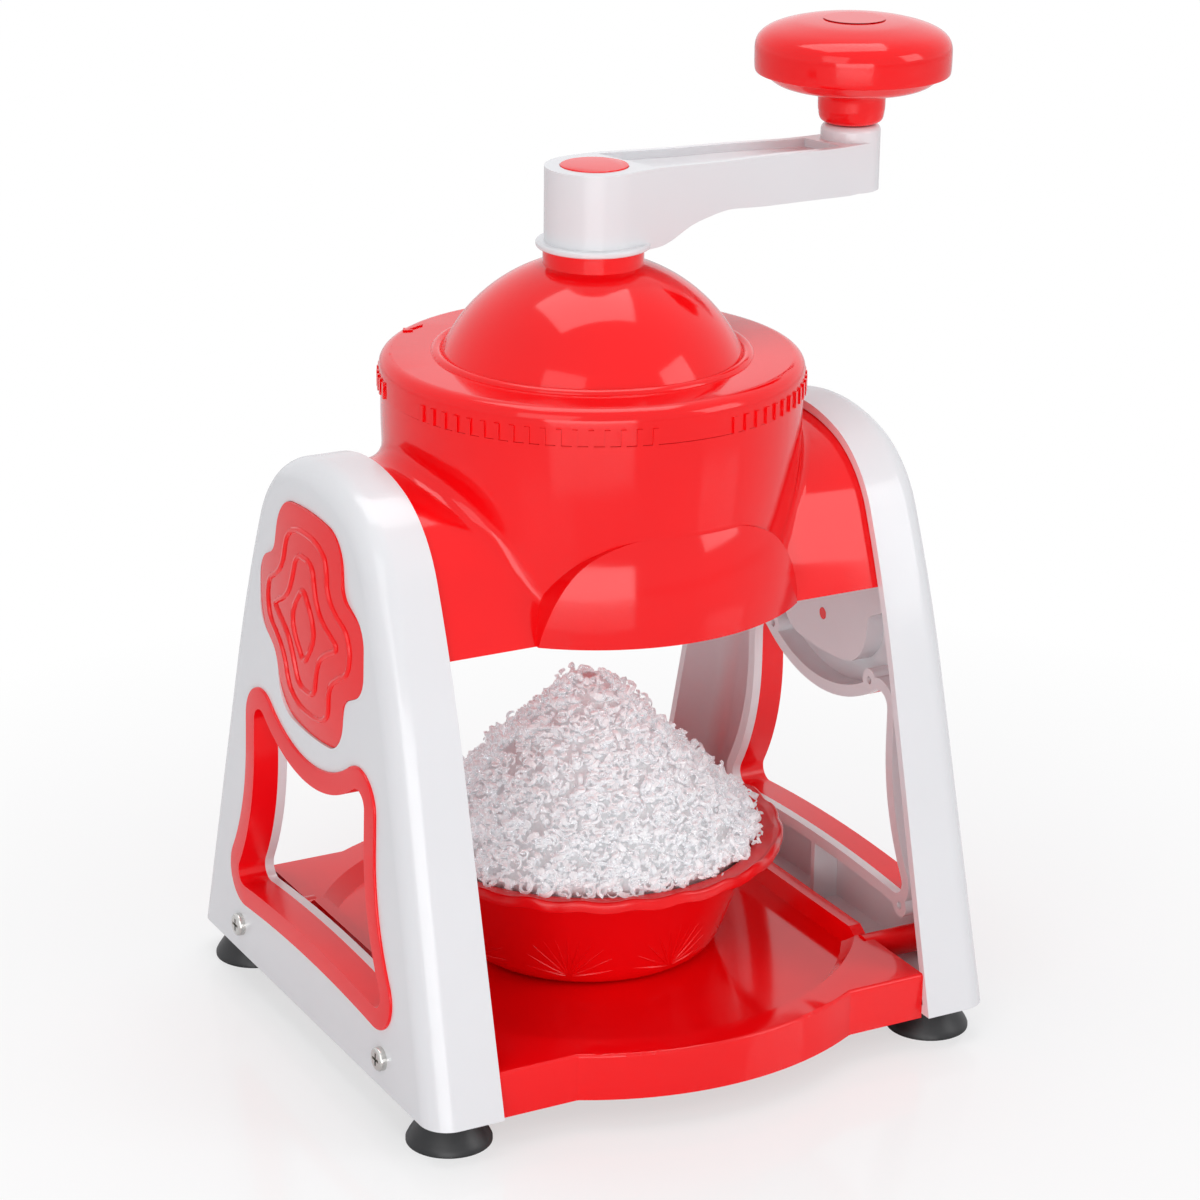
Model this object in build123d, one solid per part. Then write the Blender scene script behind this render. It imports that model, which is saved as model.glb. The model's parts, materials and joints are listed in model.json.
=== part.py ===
from build123d import *
import math
import os

# A hand-cranked ice shaver: two side frames, a hopper with a lid, a crank, and a bowl on a tray.
# Lengths are millimetres and angles degrees. Every piece is drawn about the crank axis: X runs
# across from frame to frame, -Y is the front, and Z is up from the table at Z = 0. The pieces are
# moved together at the end, so that the origin lies under the middle of the whole machine.

# ---- Fits ----
GAP = 0.3                # between pieces that move past each other, or are dropped into place
RUNNING_FIT = 0.05       # radial, between a shaft or bush and its bore
PEG_FIT = 0.1            # radial, between a peg or screw and its hole

# ---- Side frames ----
FRAME_WALL = 2.6
FRAME_BOTTOM = 10.0      # underside, above the table
FRAME_OPEN_X = 68.5      # open edge of the frame, towards the middle
FRAME_OUTER_X = 90.1     # outer face at its bottom edge
FRAME_LEAN = 1.23        # the outer face leans in by this angle
FRAME_EDGE_RADIUS = 8.0  # between the outer face and the band round it
FRAME_FOOT_HALF = 82.0   # half the depth at the bottom
SHOULDER_HALF, SHOULDER_Z = 57.5, 103.0
NECK_HALF, NECK_Z = 41.0, 152.0
CROWN_HALF, CROWN_Z = 20.0, 171.6

# ---- Window in each frame, with its red trim ----
WINDOW_SILL_Z = 35.0
WINDOW_CORNER_HALF, WINDOW_CORNER_Z = 53.5, 32.3
WINDOW_SIDE_HALF = 37.8
WINDOW_SIDE_Z = 78.0
WINDOW_TOP_Z = 82.4      # lowest point of the arc over the window
WINDOW_TOP_RADIUS = 54.0
WINDOW_LOWER_FILLET = 4.0
WINDOW_UPPER_FILLET = 4.5
TRIM_WALL = 1.6
TRIM_FLANGE = 6.3
TRIM_PROUD = 0.8
TUBE_WALL = 2.0          # white wall round the trim
TUBE_END_X = 79.0
TUBE_LIP = 2.8
POST_RADIUS = 3.5
POST_HOLE = 1.2
POSTS = ((27.5, 94.0), (48.5, 30.0))    # half spacing and height of the four trim posts
RIB_THICKNESS = 2.0

# ---- Badge in each frame ----
BADGE_Z = 129.5
BADGE_HALF_HEIGHT = 32.8
BADGE_HALF_WIDTH = 35.0
BADGE_TOP_HALF = 21.0
BADGE_TOP_DROP = 2.0
BADGE_WAIST = (22.8, 15.0)
BADGE_SIDE_HALF = 9.5
BADGE_FILLETS = (11.0, 6.0, 9.0)
BADGE_CROWN = 2.4
BADGE_CROWN_RADIUS = 242.0
BADGE_WALL = 2.2
BADGE_RIDGE_HEIGHT = 0.6
BADGE_RIDGE_WIDTH = 1.8
BADGE_RIDGES = (0.81, 0.61)             # size of each raised outline, as a share of the badge
BADGE_LENS_HALF = (7.0, 10.0)
BADGE_PEG_RADIUS = 1.8
BADGE_PEG_SPACING = 23.5
POCKET_DEPTH = 5.5
PAD_WALL = 2.2
PAD_INNER_X = 79.5

# ---- Tray ----
TRAY_BOTTOM, TRAY_TOP = 8.6, 22.5
TRAY_HALF_DEPTH = 78.1
TRAY_BULGE_HALF, TRAY_BULGE = 44.0, 11.2
TRAY_CORNER_FILLET = 3.0
TRAY_EDGE_FILLET = 1.0
TRAY_WALL = 2.6
TRAY_FLOOR = 18.0
RECESS_RADIUS = 80.0
RECESS_SLOPE = 4.0
RAIL_WIDTH, RAIL_HEIGHT, RAIL_HALF, RAIL_SLOPE = 4.0, 2.0, 44.0, 3.0
TRAY_SCREW_Y, TRAY_SCREW_Z = 49.3, 19.0
TRAY_BOSS_RADIUS = 4.2
TRAY_RIB_SPACING = 38.0

# ---- Screws ----
SCREW_RADIUS = 1.6
SCREW_HEAD_RADIUS, SCREW_HEAD_HEIGHT = 3.4, 2.0
SCREW_LENGTH = 12.0
RECESS_ARM, RECESS_WIDTH, RECESS_DEPTH = 1.9, 0.8, 1.1
HOPPER_SCREW_Y, HOPPER_SCREW_Z = 12.0, 148.0
HOPPER_SCREW_LENGTH = 6.0
HOPPER_BOSS_RADIUS, HOPPER_BOSS_DEPTH = 4.2, 6.0

# ---- Suction feet ----
FOOT_X, FOOT_Y = 78.0, 67.0
FOOT_RADIUS, FOOT_TOP_RADIUS = 12.0, 7.5
FOOT_WALL = 2.4
FOOT_STUD_RADIUS = 2.5
FOOT_HEAD_RADIUS, FOOT_HEAD_HEIGHT = 4.0, 2.4

# ---- Hopper ----
HOPPER_BOTTOM = 130.6
HOPPER_WALL = 2.4
# Radius and height over the hopper's bottom.
HOPPER_OUTSIDE = ((52.5, 0.0), (56.0, 12.0), (57.6, 22.0), (58.7, 31.4), (59.4, 42.0), (59.6, 56.7))
COLLAR_RADIUS, COLLAR_WALL, COLLAR_HEIGHT = 57.2, 2.4, 7.7
WING_FILLET = 5.0
WING_END_CHAMFER = 1.0
LEDGE_RADIUS, LEDGE_Z, LEDGE_HEIGHT = 45.0, 139.0, 3.0
APRON_RADIUS = 62.5
APRON_TOP_RADIUS, APRON_TOP_Z = 58.0, 161.5
APRON_BULGE = 1.8
APRON_ARCH = ((41.0, 0.0), (38.6, 9.6), (29.6, 23.4), (15.0, 29.6), (0.0, 31.2))

# ---- Blade plate and blade ----
PLATE_THICKNESS = 3.0
PLATE_SCREW_RADIUS, PLATE_SCREW_HEAD = 1.1, 2.1
PLATE_SCREW_HEAD_HEIGHT = 1.4
PLATE_SCREW_LENGTH = 5.0
PLATE_SCREW_CIRCLE = 47.4
PLATE_SCREW_COUNT = 3
SLOT_LENGTH, SLOT_WIDTH = 36.0, 6.0
SLOT_START = 3.5
BLADE_WIDTH, BLADE_THICKNESS = 16.0, 0.8
BLADE_LENGTH = 40.0
BLADE_ANGLE = 18.0
BLADE_PROUD = 0.5
BLADE_SCREW_SPACING = 24.0
BLADE_SCREW_LENGTH = 3.4

# ---- Lid ----
LID_RADIUS = 60.0
LID_BOTTOM, LID_TOP = 187.6, 197.5
LID_EDGE_FILLET = 3.7
LID_WALL = 2.2
BEAD_RADIUS, BEAD_WIDTH, BEAD_HEIGHT = 44.0, 3.0, 1.2
DOME_CENTRE_Z, DOME_RADIUS = 178.0, 46.9
DOME_WALL = 2.4
LID_NECK_RADIUS, LID_NECK_TOP = 14.2, 227.2
LID_BOSS_RADIUS, LID_BOSS_BOTTOM = 11.6, 205.0
WEB_THICKNESS, WEB_REACH, WEB_COUNT = 1.8, 26.0, 4
GRIP_GROUPS, GRIP_RIBS, GRIP_PITCH = 4, 17, 4.15
GRIP_WIDTH, GRIP_PROUD, GRIP_HEIGHT = 1.5, 0.6, 4.6
LUG_COUNT, LUG_ANGLE = 4, 8.0
LUG_DEPTH, LUG_HEIGHT, LUG_RISE = 1.2, 1.8, 1.0
LOCK_ANGLE = 25.0        # the lid turns this far to lock
ARROW_PLACE = (-35.6, 42.3)
ARROW_DIRECTION = 206.0
ARROW_LENGTH, ARROW_WIDTH, ARROW_HEAD, ARROW_HEIGHT = 8.2, 0.7, 2.6, 0.4

# ---- Crank, drawn along +X and then turned about the crank axis ----
CRANK_DIRECTION = 16.0
CRANK_REACH = 106.0      # crank axis to knob axis
HUB_RADIUS, HUB_HEIGHT = 13.9, 22.8
HUB_BOTTOM = LID_NECK_TOP + GAP
HUB_TOP = HUB_BOTTOM + HUB_HEIGHT
HUB_LIP, HUB_LIP_HEIGHT = 2.3, 1.8
ARM_END_RADIUS = 8.9
# Heights over the hub's bottom, at distances from the crank axis.
ARM_TOP = ((38.0, 20.1), (64.0, 18.2), (89.0, 16.0), (116.0, 13.5))
ARM_UNDER = ((26.0, 3.8), (33.0, 5.0), (41.0, 5.7), (51.0, 4.8), (73.0, 2.8), (96.0, 0.8))
ARM_END_Z = HUB_BOTTOM + 0.3
ARM_WALL = 2.3
ARM_CHANNEL = 2.4
ARM_CHANNEL_FLANGE = 2.4
POST_TOP = HUB_BOTTOM + 19.8
POST_CORE_RADIUS = 6.4   # solid core of the post, round the knob's bolt and nut
POST_TOP_FILLET = 2.0
CAP_RADIUS, CAP_THICKNESS, CAP_PROUD = 9.6, 1.8, 0.3
HUB_BOSS_RADIUS = 8.0
HUB_SOCKET_TOP = HUB_BOTTOM + 16.1
CRANK_SCREW_HEAD, CRANK_SCREW_HEAD_HEIGHT = 5.0, 2.4
CRANK_SCREW_RADIUS, CRANK_SCREW_LENGTH = 2.0, 14.0

# ---- Shaft, bush and what they carry ----
SHAFT_RADIUS = 5.0
SHAFT_HEX = 8.4          # across flats
SHAFT_BOTTOM = 152.9
SHAFT_ROUND_BOTTOM = 200.0
BUSH_RADIUS = 9.0
BUSH_FLANGE_RADIUS, BUSH_FLANGE_HEIGHT = 11.0, 1.5
RING_RADIUS, RING_THICKNESS = 11.0, 1.3
CLIP_RADIUS, CLIP_THICKNESS, CLIP_GROOVE, CLIP_OPENING = 8.5, 1.2, 0.8, 60.0
PRESSER_RADIUS, PRESSER_BOTTOM, PRESSER_THICKNESS = 44.0, 153.0, 4.0
PRESSER_HUB_RADIUS, PRESSER_HUB_TOP = 9.5, 165.0
PRESSER_HEX_FIT = 0.2
SPIKE_LENGTH, SPIKE_RADIUS = 6.0, 1.8
SPIKE_RINGS = ((18.0, 6), (28.0, 9), (38.0, 12))
PRESSER_RIB_HEIGHT, PRESSER_RIBS = 5.0, 6
STOP_RADIUS, STOP_THICKNESS = 6.5, 1.2
STOP_SCREW_HEAD, STOP_SCREW_HEAD_HEIGHT = 3.6, 1.8
STOP_SCREW_RADIUS, STOP_SCREW_LENGTH = 1.6, 12.0
SPRING_RADIUS, SPRING_WIRE, SPRING_TURNS = 7.3, 0.8, 6

# ---- Knob ----
KNOB_BOTTOM = POST_TOP + GAP
# Radius and height over the knob's bottom.
KNOB_NECK = ((7.3, 0.0), (9.3, 1.2), (9.8, 3.4), (10.0, 7.0))
KNOB_UNDER = ((13.0, 9.74), (18.0, 10.5), (24.0, 12.5), (27.6, 15.2))
KNOB_RADIUS = 29.1
KNOB_WIDEST_Z = KNOB_BOTTOM + 20.1
KNOB_PARTING_Z = KNOB_BOTTOM + 21.6
KNOB_TOP_Z = KNOB_BOTTOM + 30.9
KNOB_CROWN = ((28.2, 25.1), (26.5, 26.8), (24.5, 27.9), (19.0, 29.6), (13.0, 30.4), (6.5, 30.8))
KNOB_WALL = 2.2
KNOB_SPIGOT_WALL = 1.4
KNOB_SLEEVE_RADIUS, KNOB_SLEEVE_TOP = 5.6, KNOB_BOTTOM + 11.4
BOLT_RADIUS, BOLT_HEAD_RADIUS, BOLT_HEAD_HEIGHT = 3.0, 5.0, 3.0
NUT_FLATS, NUT_HEIGHT = 8.0, 4.2
NUT_BOTTOM = HUB_BOTTOM + 1.2

# ---- Bowl and ice ----
BOWL_FOOT_Z = TRAY_FLOOR + GAP
BOWL_FOOT_RADIUS, BOWL_FOOT_WIDTH, BOWL_FOOT_HEIGHT = 36.0, 3.0, 1.4
# Radius and height over the bowl's foot.
BOWL_SIDE = ((38.6, 2.2), (40.4, 6.7), (42.2, 11.7), (44.1, 16.7), (46.0, 21.7), (47.7, 26.7), (49.3, 30.2))
BOWL_WALL = 1.8
BOWL_RIM_RADIUS, BOWL_RIM_BOTTOM, BOWL_RIM_TOP = 57.8, 50.0, 53.4
BOWL_LIP_TOP = 52.0
BOWL_RIM_WALL = 1.8
ICE_PEAK, ICE_PEAK_RADIUS = 104.0, 3.0
ICE_EDGE_RADIUS = 52.4


def ring(outer, inner, bottom, top):
    """A plain tube about Z."""
    tube = Cylinder(outer, top - bottom) - Cylinder(inner, top - bottom)
    return Pos(0, 0, (bottom + top) / 2) * tube


def disc(radius, bottom, top):
    """A plain disc about Z."""
    return Pos(0, 0, (bottom + top) / 2) * Cylinder(radius, top - bottom)


def hexagon(flats, bottom, top):
    """A hexagonal bar about Z, measured across its flats."""
    corner = flats / 2 / math.cos(math.radians(30))
    return Pos(0, 0, bottom) * extrude(RegularPolygon(corner, 6), top - bottom)


def turned(*edges):
    """The solid that a closed outline in the XZ plane makes about Z."""
    return revolve(Plane.XZ * make_face(Curve() + list(edges)), Axis.Z)


def across(sketch, start, end):
    """A (Y, Z) sketch as a bar along X from start to end."""
    return extrude(Plane.YZ.offset(start) * sketch, end - start)


def mirrored(edges):
    """Edges with their mirror images in the vertical axis of a sketch."""
    return [edge for part in edges for edge in (part, mirror(part, Plane.YZ))]


def outer_face(height=FRAME_BOTTOM, proud=0.0):
    """X of the right-hand frame's leaning face at a height, or of a face parallel to it."""
    lean = math.radians(FRAME_LEAN)
    return FRAME_OUTER_X - (height - FRAME_BOTTOM) * math.tan(lean) + proud / math.cos(lean)


def face_plane(height, proud=0.0, offset_y=0.0):
    """A plane on the leaning face, with its normal outwards and its X along Y."""
    lean = math.radians(FRAME_LEAN)
    origin = (outer_face(height, proud), offset_y, height)
    return Plane(origin, x_dir=(0, 1, 0), z_dir=(math.cos(lean), 0, math.sin(lean)))


def between_faces(inner, outer):
    """All of space between two distances from the leaning face, outwards positive."""
    reach = 2 * FRAME_FOOT_HALF + CROWN_Z
    slab = Box(2 * reach, 2 * reach, outer - inner)
    return face_plane((FRAME_BOTTOM + CROWN_Z) / 2, (inner + outer) / 2).location * slab


def on_face(sketch, inner, outer):
    """A (Y, Z) sketch as a bar along X, cut off parallel to the leaning face."""
    bar = across(sketch, FRAME_OPEN_X - FRAME_WALL, FRAME_OUTER_X + 2 * outer + 10)
    return bar & between_faces(inner, outer)


def outward_face(solid):
    """The largest face that looks along +X."""
    return max((f for f in solid.faces() if f.normal_at().X > 0.9), key=lambda f: f.area)


# ---- Side frame, trim and badge, drawn on the right-hand side ----

def frame_outline():
    """The side frame seen along X: wide foot, drawn-in flanks and a round crown."""
    side = Line((FRAME_FOOT_HALF, FRAME_BOTTOM), (SHOULDER_HALF, SHOULDER_Z))
    flank = TangentArc((SHOULDER_HALF, SHOULDER_Z), (NECK_HALF, NECK_Z), tangent=side % 1)
    cheek = TangentArc((NECK_HALF, NECK_Z), (CROWN_HALF, CROWN_Z), tangent=flank % 1)
    crown = TangentArc((CROWN_HALF, CROWN_Z), (-CROWN_HALF, CROWN_Z), tangent=cheek % 1)
    foot = Line((-FRAME_FOOT_HALF, FRAME_BOTTOM), (FRAME_FOOT_HALF, FRAME_BOTTOM))
    return make_face(Curve() + mirrored([side, flank, cheek]) + [crown, foot])


def cavity_outline(clearance=0.0):
    """The inside of the side frame, or what fits in it with a clearance."""
    return offset(frame_outline(), -(FRAME_WALL + clearance), kind=Kind.INTERSECTION)


def arc_about(centre, start, end):
    """The shorter arc between two points about a centre, in a sketch."""
    middle = (Vector(*start) + Vector(*end)) * 0.5 - Vector(*centre)
    radius = (Vector(*start) - Vector(*centre)).length
    return ThreePointArc(start, Vector(*centre) + middle.normalized() * radius, end)


def where_arcs_meet(centre_a, radius_a, centre_b, radius_b):
    """The upper right point of a sketch where two circles cross."""
    line = Vector(*centre_b) - Vector(*centre_a)
    along = (radius_a ** 2 - radius_b ** 2 + line.length ** 2) / (2 * line.length)
    aside = math.sqrt(radius_a ** 2 - along ** 2)
    unit = line.normalized()
    points = [Vector(*centre_a) + unit * along + Vector(-unit.Y, unit.X) * side * aside for side in (-1, 1)]
    return max(points, key=lambda point: point.Y)


def window_outline(grow=0.0):
    """The window seen along X, or a like outline round it: every arc and corner moves out by grow."""
    top_centre = (0, WINDOW_TOP_Z + WINDOW_TOP_RADIUS)
    rise = WINDOW_SILL_Z - WINDOW_CORNER_Z
    sill_radius = (WINDOW_CORNER_HALF ** 2 + rise ** 2) / (2 * rise)
    sill_centre = (0, WINDOW_SILL_Z - sill_radius)
    spread, drop = WINDOW_CORNER_HALF - WINDOW_SIDE_HALF, WINDOW_SIDE_Z - WINDOW_CORNER_Z
    flare_radius = (spread ** 2 + drop ** 2) / (2 * spread)
    flare_x = WINDOW_SIDE_HALF + flare_radius

    half = WINDOW_SIDE_HALF + grow
    upper_z = top_centre[1] - math.sqrt((WINDOW_TOP_RADIUS - grow) ** 2 - half ** 2)
    corner = where_arcs_meet((flare_x, WINDOW_SIDE_Z), flare_radius - grow, sill_centre, sill_radius - grow)
    edges = [arc_about(top_centre, (-half, upper_z), (half, upper_z)),
             arc_about(sill_centre, (-corner.X, corner.Y), (corner.X, corner.Y))]
    for side in (-1, 1):
        middle = (side * half, WINDOW_SIDE_Z)
        edges.append(Line((side * half, upper_z), middle))
        edges.append(arc_about((side * flare_x, WINDOW_SIDE_Z), middle, (side * corner.X, corner.Y)))
    face = make_face(Curve() + edges)
    high = [v for v in face.vertices() if v.Y > WINDOW_SIDE_Z + 1]
    face = fillet(high, WINDOW_UPPER_FILLET + grow)
    low = [v for v in face.vertices() if v.Y < corner.Y + 1]
    return fillet(low, WINDOW_LOWER_FILLET + grow)


def badge_outline():
    """The wavy badge seen along X, alike on all four quarters."""
    top = (BADGE_TOP_HALF, BADGE_HALF_HEIGHT - BADGE_TOP_DROP)
    side = (BADGE_HALF_WIDTH, BADGE_SIDE_HALF)
    crest = ThreePointArc((-top[0], top[1]), (0, BADGE_HALF_HEIGHT), top)
    quarter = [Line(top, BADGE_WAIST), Line(BADGE_WAIST, side)]
    lower = [mirror(edge, Plane.XZ) for edge in mirrored(quarter) + [crest]]
    flats = [Line(side, (side[0], -side[1])), Line((-side[0], side[1]), (-side[0], -side[1]))]
    face = make_face(Curve() + mirrored(quarter) + [crest] + lower + flats)
    for point, radius in zip((top, BADGE_WAIST, side), BADGE_FILLETS):
        near = [v for v in face.vertices()
                if abs(abs(v.X) - point[0]) < 0.01 and abs(abs(v.Y) - point[1]) < 0.01]
        face = fillet(near, radius)
    return face


def side_frame():
    """One moulded side: a leaning plate with a band round it, open towards the middle."""
    pocket_floor = outer_face(BADGE_Z) - POCKET_DEPTH
    blank = on_face(frame_outline(), FRAME_OPEN_X - FRAME_OUTER_X - 8, 0)
    blank = blank & Pos(FRAME_OPEN_X + 100, 0, 100) * Box(200, 400, 400)
    rim = [e for e in outward_face(blank).edges() if e.center().Z > FRAME_BOTTOM + 1]
    blank = fillet(rim, FRAME_EDGE_RADIUS)
    hollow = on_face(cavity_outline(), FRAME_OPEN_X - FRAME_OUTER_X - 12, -FRAME_WALL)
    rim = [e for e in outward_face(hollow).edges() if e.center().Z > FRAME_BOTTOM + FRAME_WALL + 1]
    hollow = fillet(rim, FRAME_EDGE_RADIUS - FRAME_WALL)
    frame = blank - hollow

    inside = across(cavity_outline(), FRAME_OPEN_X, FRAME_OUTER_X)
    # A wall and a lip stand inwards round the window, and a pad stands behind the badge.
    tube = on_face(window_outline(TRIM_WALL + TUBE_WALL), -60, -FRAME_WALL / 2)
    tube = tube & Pos(TUBE_END_X + 50, 0, 100) * Box(100, 400, 400)
    pad = Pos(0, BADGE_Z) * offset(badge_outline(), PAD_WALL, kind=Kind.INTERSECTION)
    pad = across(pad, PAD_INNER_X, outer_face(BADGE_Z) - FRAME_WALL / 2) & inside
    posts = [across(Pos(s * y, z) * Circle(POST_RADIUS), TUBE_END_X, outer_face(z) - FRAME_WALL / 2)
             for y, z in POSTS for s in (-1, 1)]
    rib_top = WINDOW_SILL_Z - TRIM_WALL - TUBE_WALL / 2
    rib_bottom = FRAME_BOTTOM + FRAME_WALL / 2
    rib = Pos(0, (rib_top + rib_bottom) / 2) * Rectangle(RIB_THICKNESS, rib_top - rib_bottom)
    rib = across(rib, TUBE_END_X, outer_face(WINDOW_SILL_Z) - FRAME_WALL / 2)
    frame = frame + tube + pad + posts + rib

    opening = across(window_outline(), FRAME_OPEN_X, FRAME_OUTER_X + 5)
    seat = across(window_outline(TRIM_WALL + PEG_FIT), TUBE_END_X + TUBE_LIP, FRAME_OUTER_X + 5)
    pocket = across(Pos(0, BADGE_Z) * badge_outline(), pocket_floor, FRAME_OUTER_X + 5)
    frame = frame - opening - seat - pocket
    holes = [across(Pos(s * y, z) * Circle(POST_HOLE), TUBE_END_X - 1, FRAME_OUTER_X + 1)
             for y, z in POSTS for s in (-1, 1)]
    holes += [across(Pos(0, BADGE_Z + s * BADGE_PEG_SPACING) * Circle(BADGE_PEG_RADIUS + PEG_FIT),
                     FRAME_OPEN_X, pocket_floor + 1) for s in (-1, 1)]
    holes += [across(Pos(s * HOPPER_SCREW_Y, HOPPER_SCREW_Z) * Circle(SCREW_RADIUS + PEG_FIT),
                     FRAME_OPEN_X, pocket_floor + 1) for s in (-1, 1)]
    for s in (-1, 1):
        holes.append(face_plane(TRAY_SCREW_Z, 0, s * TRAY_SCREW_Y).location
                     * Cylinder(SCREW_RADIUS + PEG_FIT, 4 * FRAME_WALL))
        holes.append(Pos(FOOT_X, s * FOOT_Y, FRAME_BOTTOM + FRAME_WALL / 2)
                     * Cylinder(FOOT_STUD_RADIUS + PEG_FIT, 2 * FRAME_WALL))
    return frame - holes


def window_trim():
    """The red insert of the window: a flange on the outer face, a wall through it, and four pegs."""
    flange = window_outline(TRIM_FLANGE) - window_outline()
    flange = on_face(flange, 0, TRIM_PROUD)
    flange = fillet(outward_face(flange).outer_wire().edges(), TRIM_PROUD / 2)
    wall = across(window_outline(TRIM_WALL) - window_outline(), TUBE_END_X + TUBE_LIP, FRAME_OUTER_X + 5)
    wall = wall & between_faces(-60, TRIM_PROUD / 2)
    pegs = [across(Pos(s * y, z) * Circle(POST_HOLE - PEG_FIT), TUBE_END_X + 2,
                   outer_face(z, TRIM_PROUD / 2)) for y, z in POSTS for s in (-1, 1)]
    return flange + wall + pegs


def side_badge():
    """The crowned red badge, hollow behind, with two pegs through the floor of its pocket."""
    floor = outer_face(BADGE_Z) - POCKET_DEPTH
    outline = badge_outline()
    cap = Pos(0, BADGE_Z) * offset(outline, -PEG_FIT, kind=Kind.INTERSECTION)
    centre = face_plane(BADGE_Z, BADGE_CROWN - BADGE_CROWN_RADIUS).origin
    crown = Pos(*centre) * Sphere(BADGE_CROWN_RADIUS)
    raised = Pos(*centre) * Sphere(BADGE_CROWN_RADIUS + BADGE_RIDGE_HEIGHT)
    hollow = Pos(*centre) * Sphere(BADGE_CROWN_RADIUS - BADGE_WALL)
    reach = outer_face(BADGE_Z) + 20
    badge = across(cap, floor, reach) & crown
    core = Pos(0, BADGE_Z) * scale(outline, by=1 - BADGE_WALL / BADGE_TOP_HALF)
    badge = badge - (across(core, floor - 1, reach) & hollow)
    ridge = BADGE_RIDGE_WIDTH / (BADGE_HALF_WIDTH + BADGE_HALF_HEIGHT)
    rings = [Pos(0, BADGE_Z) * (scale(outline, by=share + ridge) - scale(outline, by=share - ridge))
             for share in BADGE_RIDGES]
    half_width, half_height = BADGE_LENS_HALF
    lens = [ThreePointArc((0, s * half_height), (s * half_width, 0), (0, -s * half_height)) for s in (-1, 1)]
    lens = make_face(Curve() + lens)
    inner = scale(lens, by=1 - BADGE_RIDGE_WIDTH / half_width)
    rings.append(Pos(0, BADGE_Z) * (lens - inner))
    ridges = [across(r, outer_face(BADGE_Z), reach) & raised for r in rings]
    pegs = [across(Pos(0, BADGE_Z + s * BADGE_PEG_SPACING) * Circle(BADGE_PEG_RADIUS), PAD_INNER_X,
                   outer_face(BADGE_Z)) for s in (-1, 1)]
    return badge + ridges + pegs


# ---- Fasteners and feet ----

def pan_screw(radius, length, head_radius, head_height):
    """A screw along +Z with its head's seat at Z = 0 and a cross recess in its domed head."""
    dome = head_height * 0.45
    head = disc(head_radius, 0, head_height)
    head = fillet(head.edges().sort_by(Axis.Z)[-1], dome)
    screw = head + disc(radius, -length, 0)
    size = head_radius / SCREW_HEAD_RADIUS
    for turn in (0, 90):
        slot = Box(2 * RECESS_ARM * size, RECESS_WIDTH * size, 2 * RECESS_DEPTH * size)
        screw = screw - Pos(0, 0, head_height) * Rot(0, 0, turn) * slot
    return screw


def tray_screws():
    """Four screws that hold the side frames to the tray."""
    screw = pan_screw(SCREW_RADIUS, SCREW_LENGTH, SCREW_HEAD_RADIUS, SCREW_HEAD_HEIGHT)
    right = [face_plane(TRAY_SCREW_Z, 0, s * TRAY_SCREW_Y).location * screw for s in (-1, 1)]
    return right + [mirror(s, Plane.YZ) for s in right]


def hopper_screws():
    """Four screws under the badges that hold the hopper's wings to the side frames."""
    screw = pan_screw(SCREW_RADIUS, HOPPER_SCREW_LENGTH, SCREW_HEAD_RADIUS, SCREW_HEAD_HEIGHT)
    floor = outer_face(BADGE_Z) - POCKET_DEPTH
    right = [Pos(floor, s * HOPPER_SCREW_Y, HOPPER_SCREW_Z) * Rot(0, 90, 0) * screw for s in (-1, 1)]
    return right + [mirror(s, Plane.YZ) for s in right]


def suction_feet():
    """Four rubber cups, each with a stud through the frame's underside and a head above it."""
    outside = Spline((FOOT_RADIUS, 0.8), (FOOT_RADIUS - 1.6, 3.6), (FOOT_TOP_RADIUS + 0.6, 7.4),
                     (FOOT_TOP_RADIUS, FRAME_BOTTOM))
    base = Line((0, 0), (FOOT_RADIUS, 0))
    edge = Line((FOOT_RADIUS, 0), (FOOT_RADIUS, 0.8))
    top = Line((FOOT_TOP_RADIUS, FRAME_BOTTOM), (0, FRAME_BOTTOM))
    foot = turned(base, edge, outside, top, Line((0, FRAME_BOTTOM), (0, 0)))
    cup = Pos(0, 0, -0.01) * Cone(FOOT_RADIUS - 1.6, FOOT_TOP_RADIUS - FOOT_WALL, 5.0,
                                  align=(Align.CENTER, Align.CENTER, Align.MIN))
    above = FRAME_BOTTOM + FRAME_WALL
    foot = foot - cup + disc(FOOT_STUD_RADIUS, FRAME_BOTTOM - 1, above + 0.5)
    foot = foot + disc(FOOT_HEAD_RADIUS, above, above + FOOT_HEAD_HEIGHT)
    return [Pos(x * FOOT_X, y * FOOT_Y) * foot for x in (-1, 1) for y in (-1, 1)]


# ---- Tray ----

def tray_outline():
    """The tray seen from above: straight sides, and a bulge at the front and at the back."""
    face = Rectangle(2 * FRAME_OPEN_X, 2 * TRAY_HALF_DEPTH)
    for s in (-1, 1):
        ends = [(x * TRAY_BULGE_HALF, s * (TRAY_HALF_DEPTH - 0.01)) for x in (-1, 1)]
        arc = ThreePointArc(ends[0], (0, s * (TRAY_HALF_DEPTH + TRAY_BULGE)), ends[1])
        face = face + make_face(Curve() + [arc, Line(ends[1], ends[0])])
    corners = [v for v in face.vertices() if abs(abs(v.X) - TRAY_BULGE_HALF) < 1]
    return fillet(corners, TRAY_CORNER_FILLET)


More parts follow.
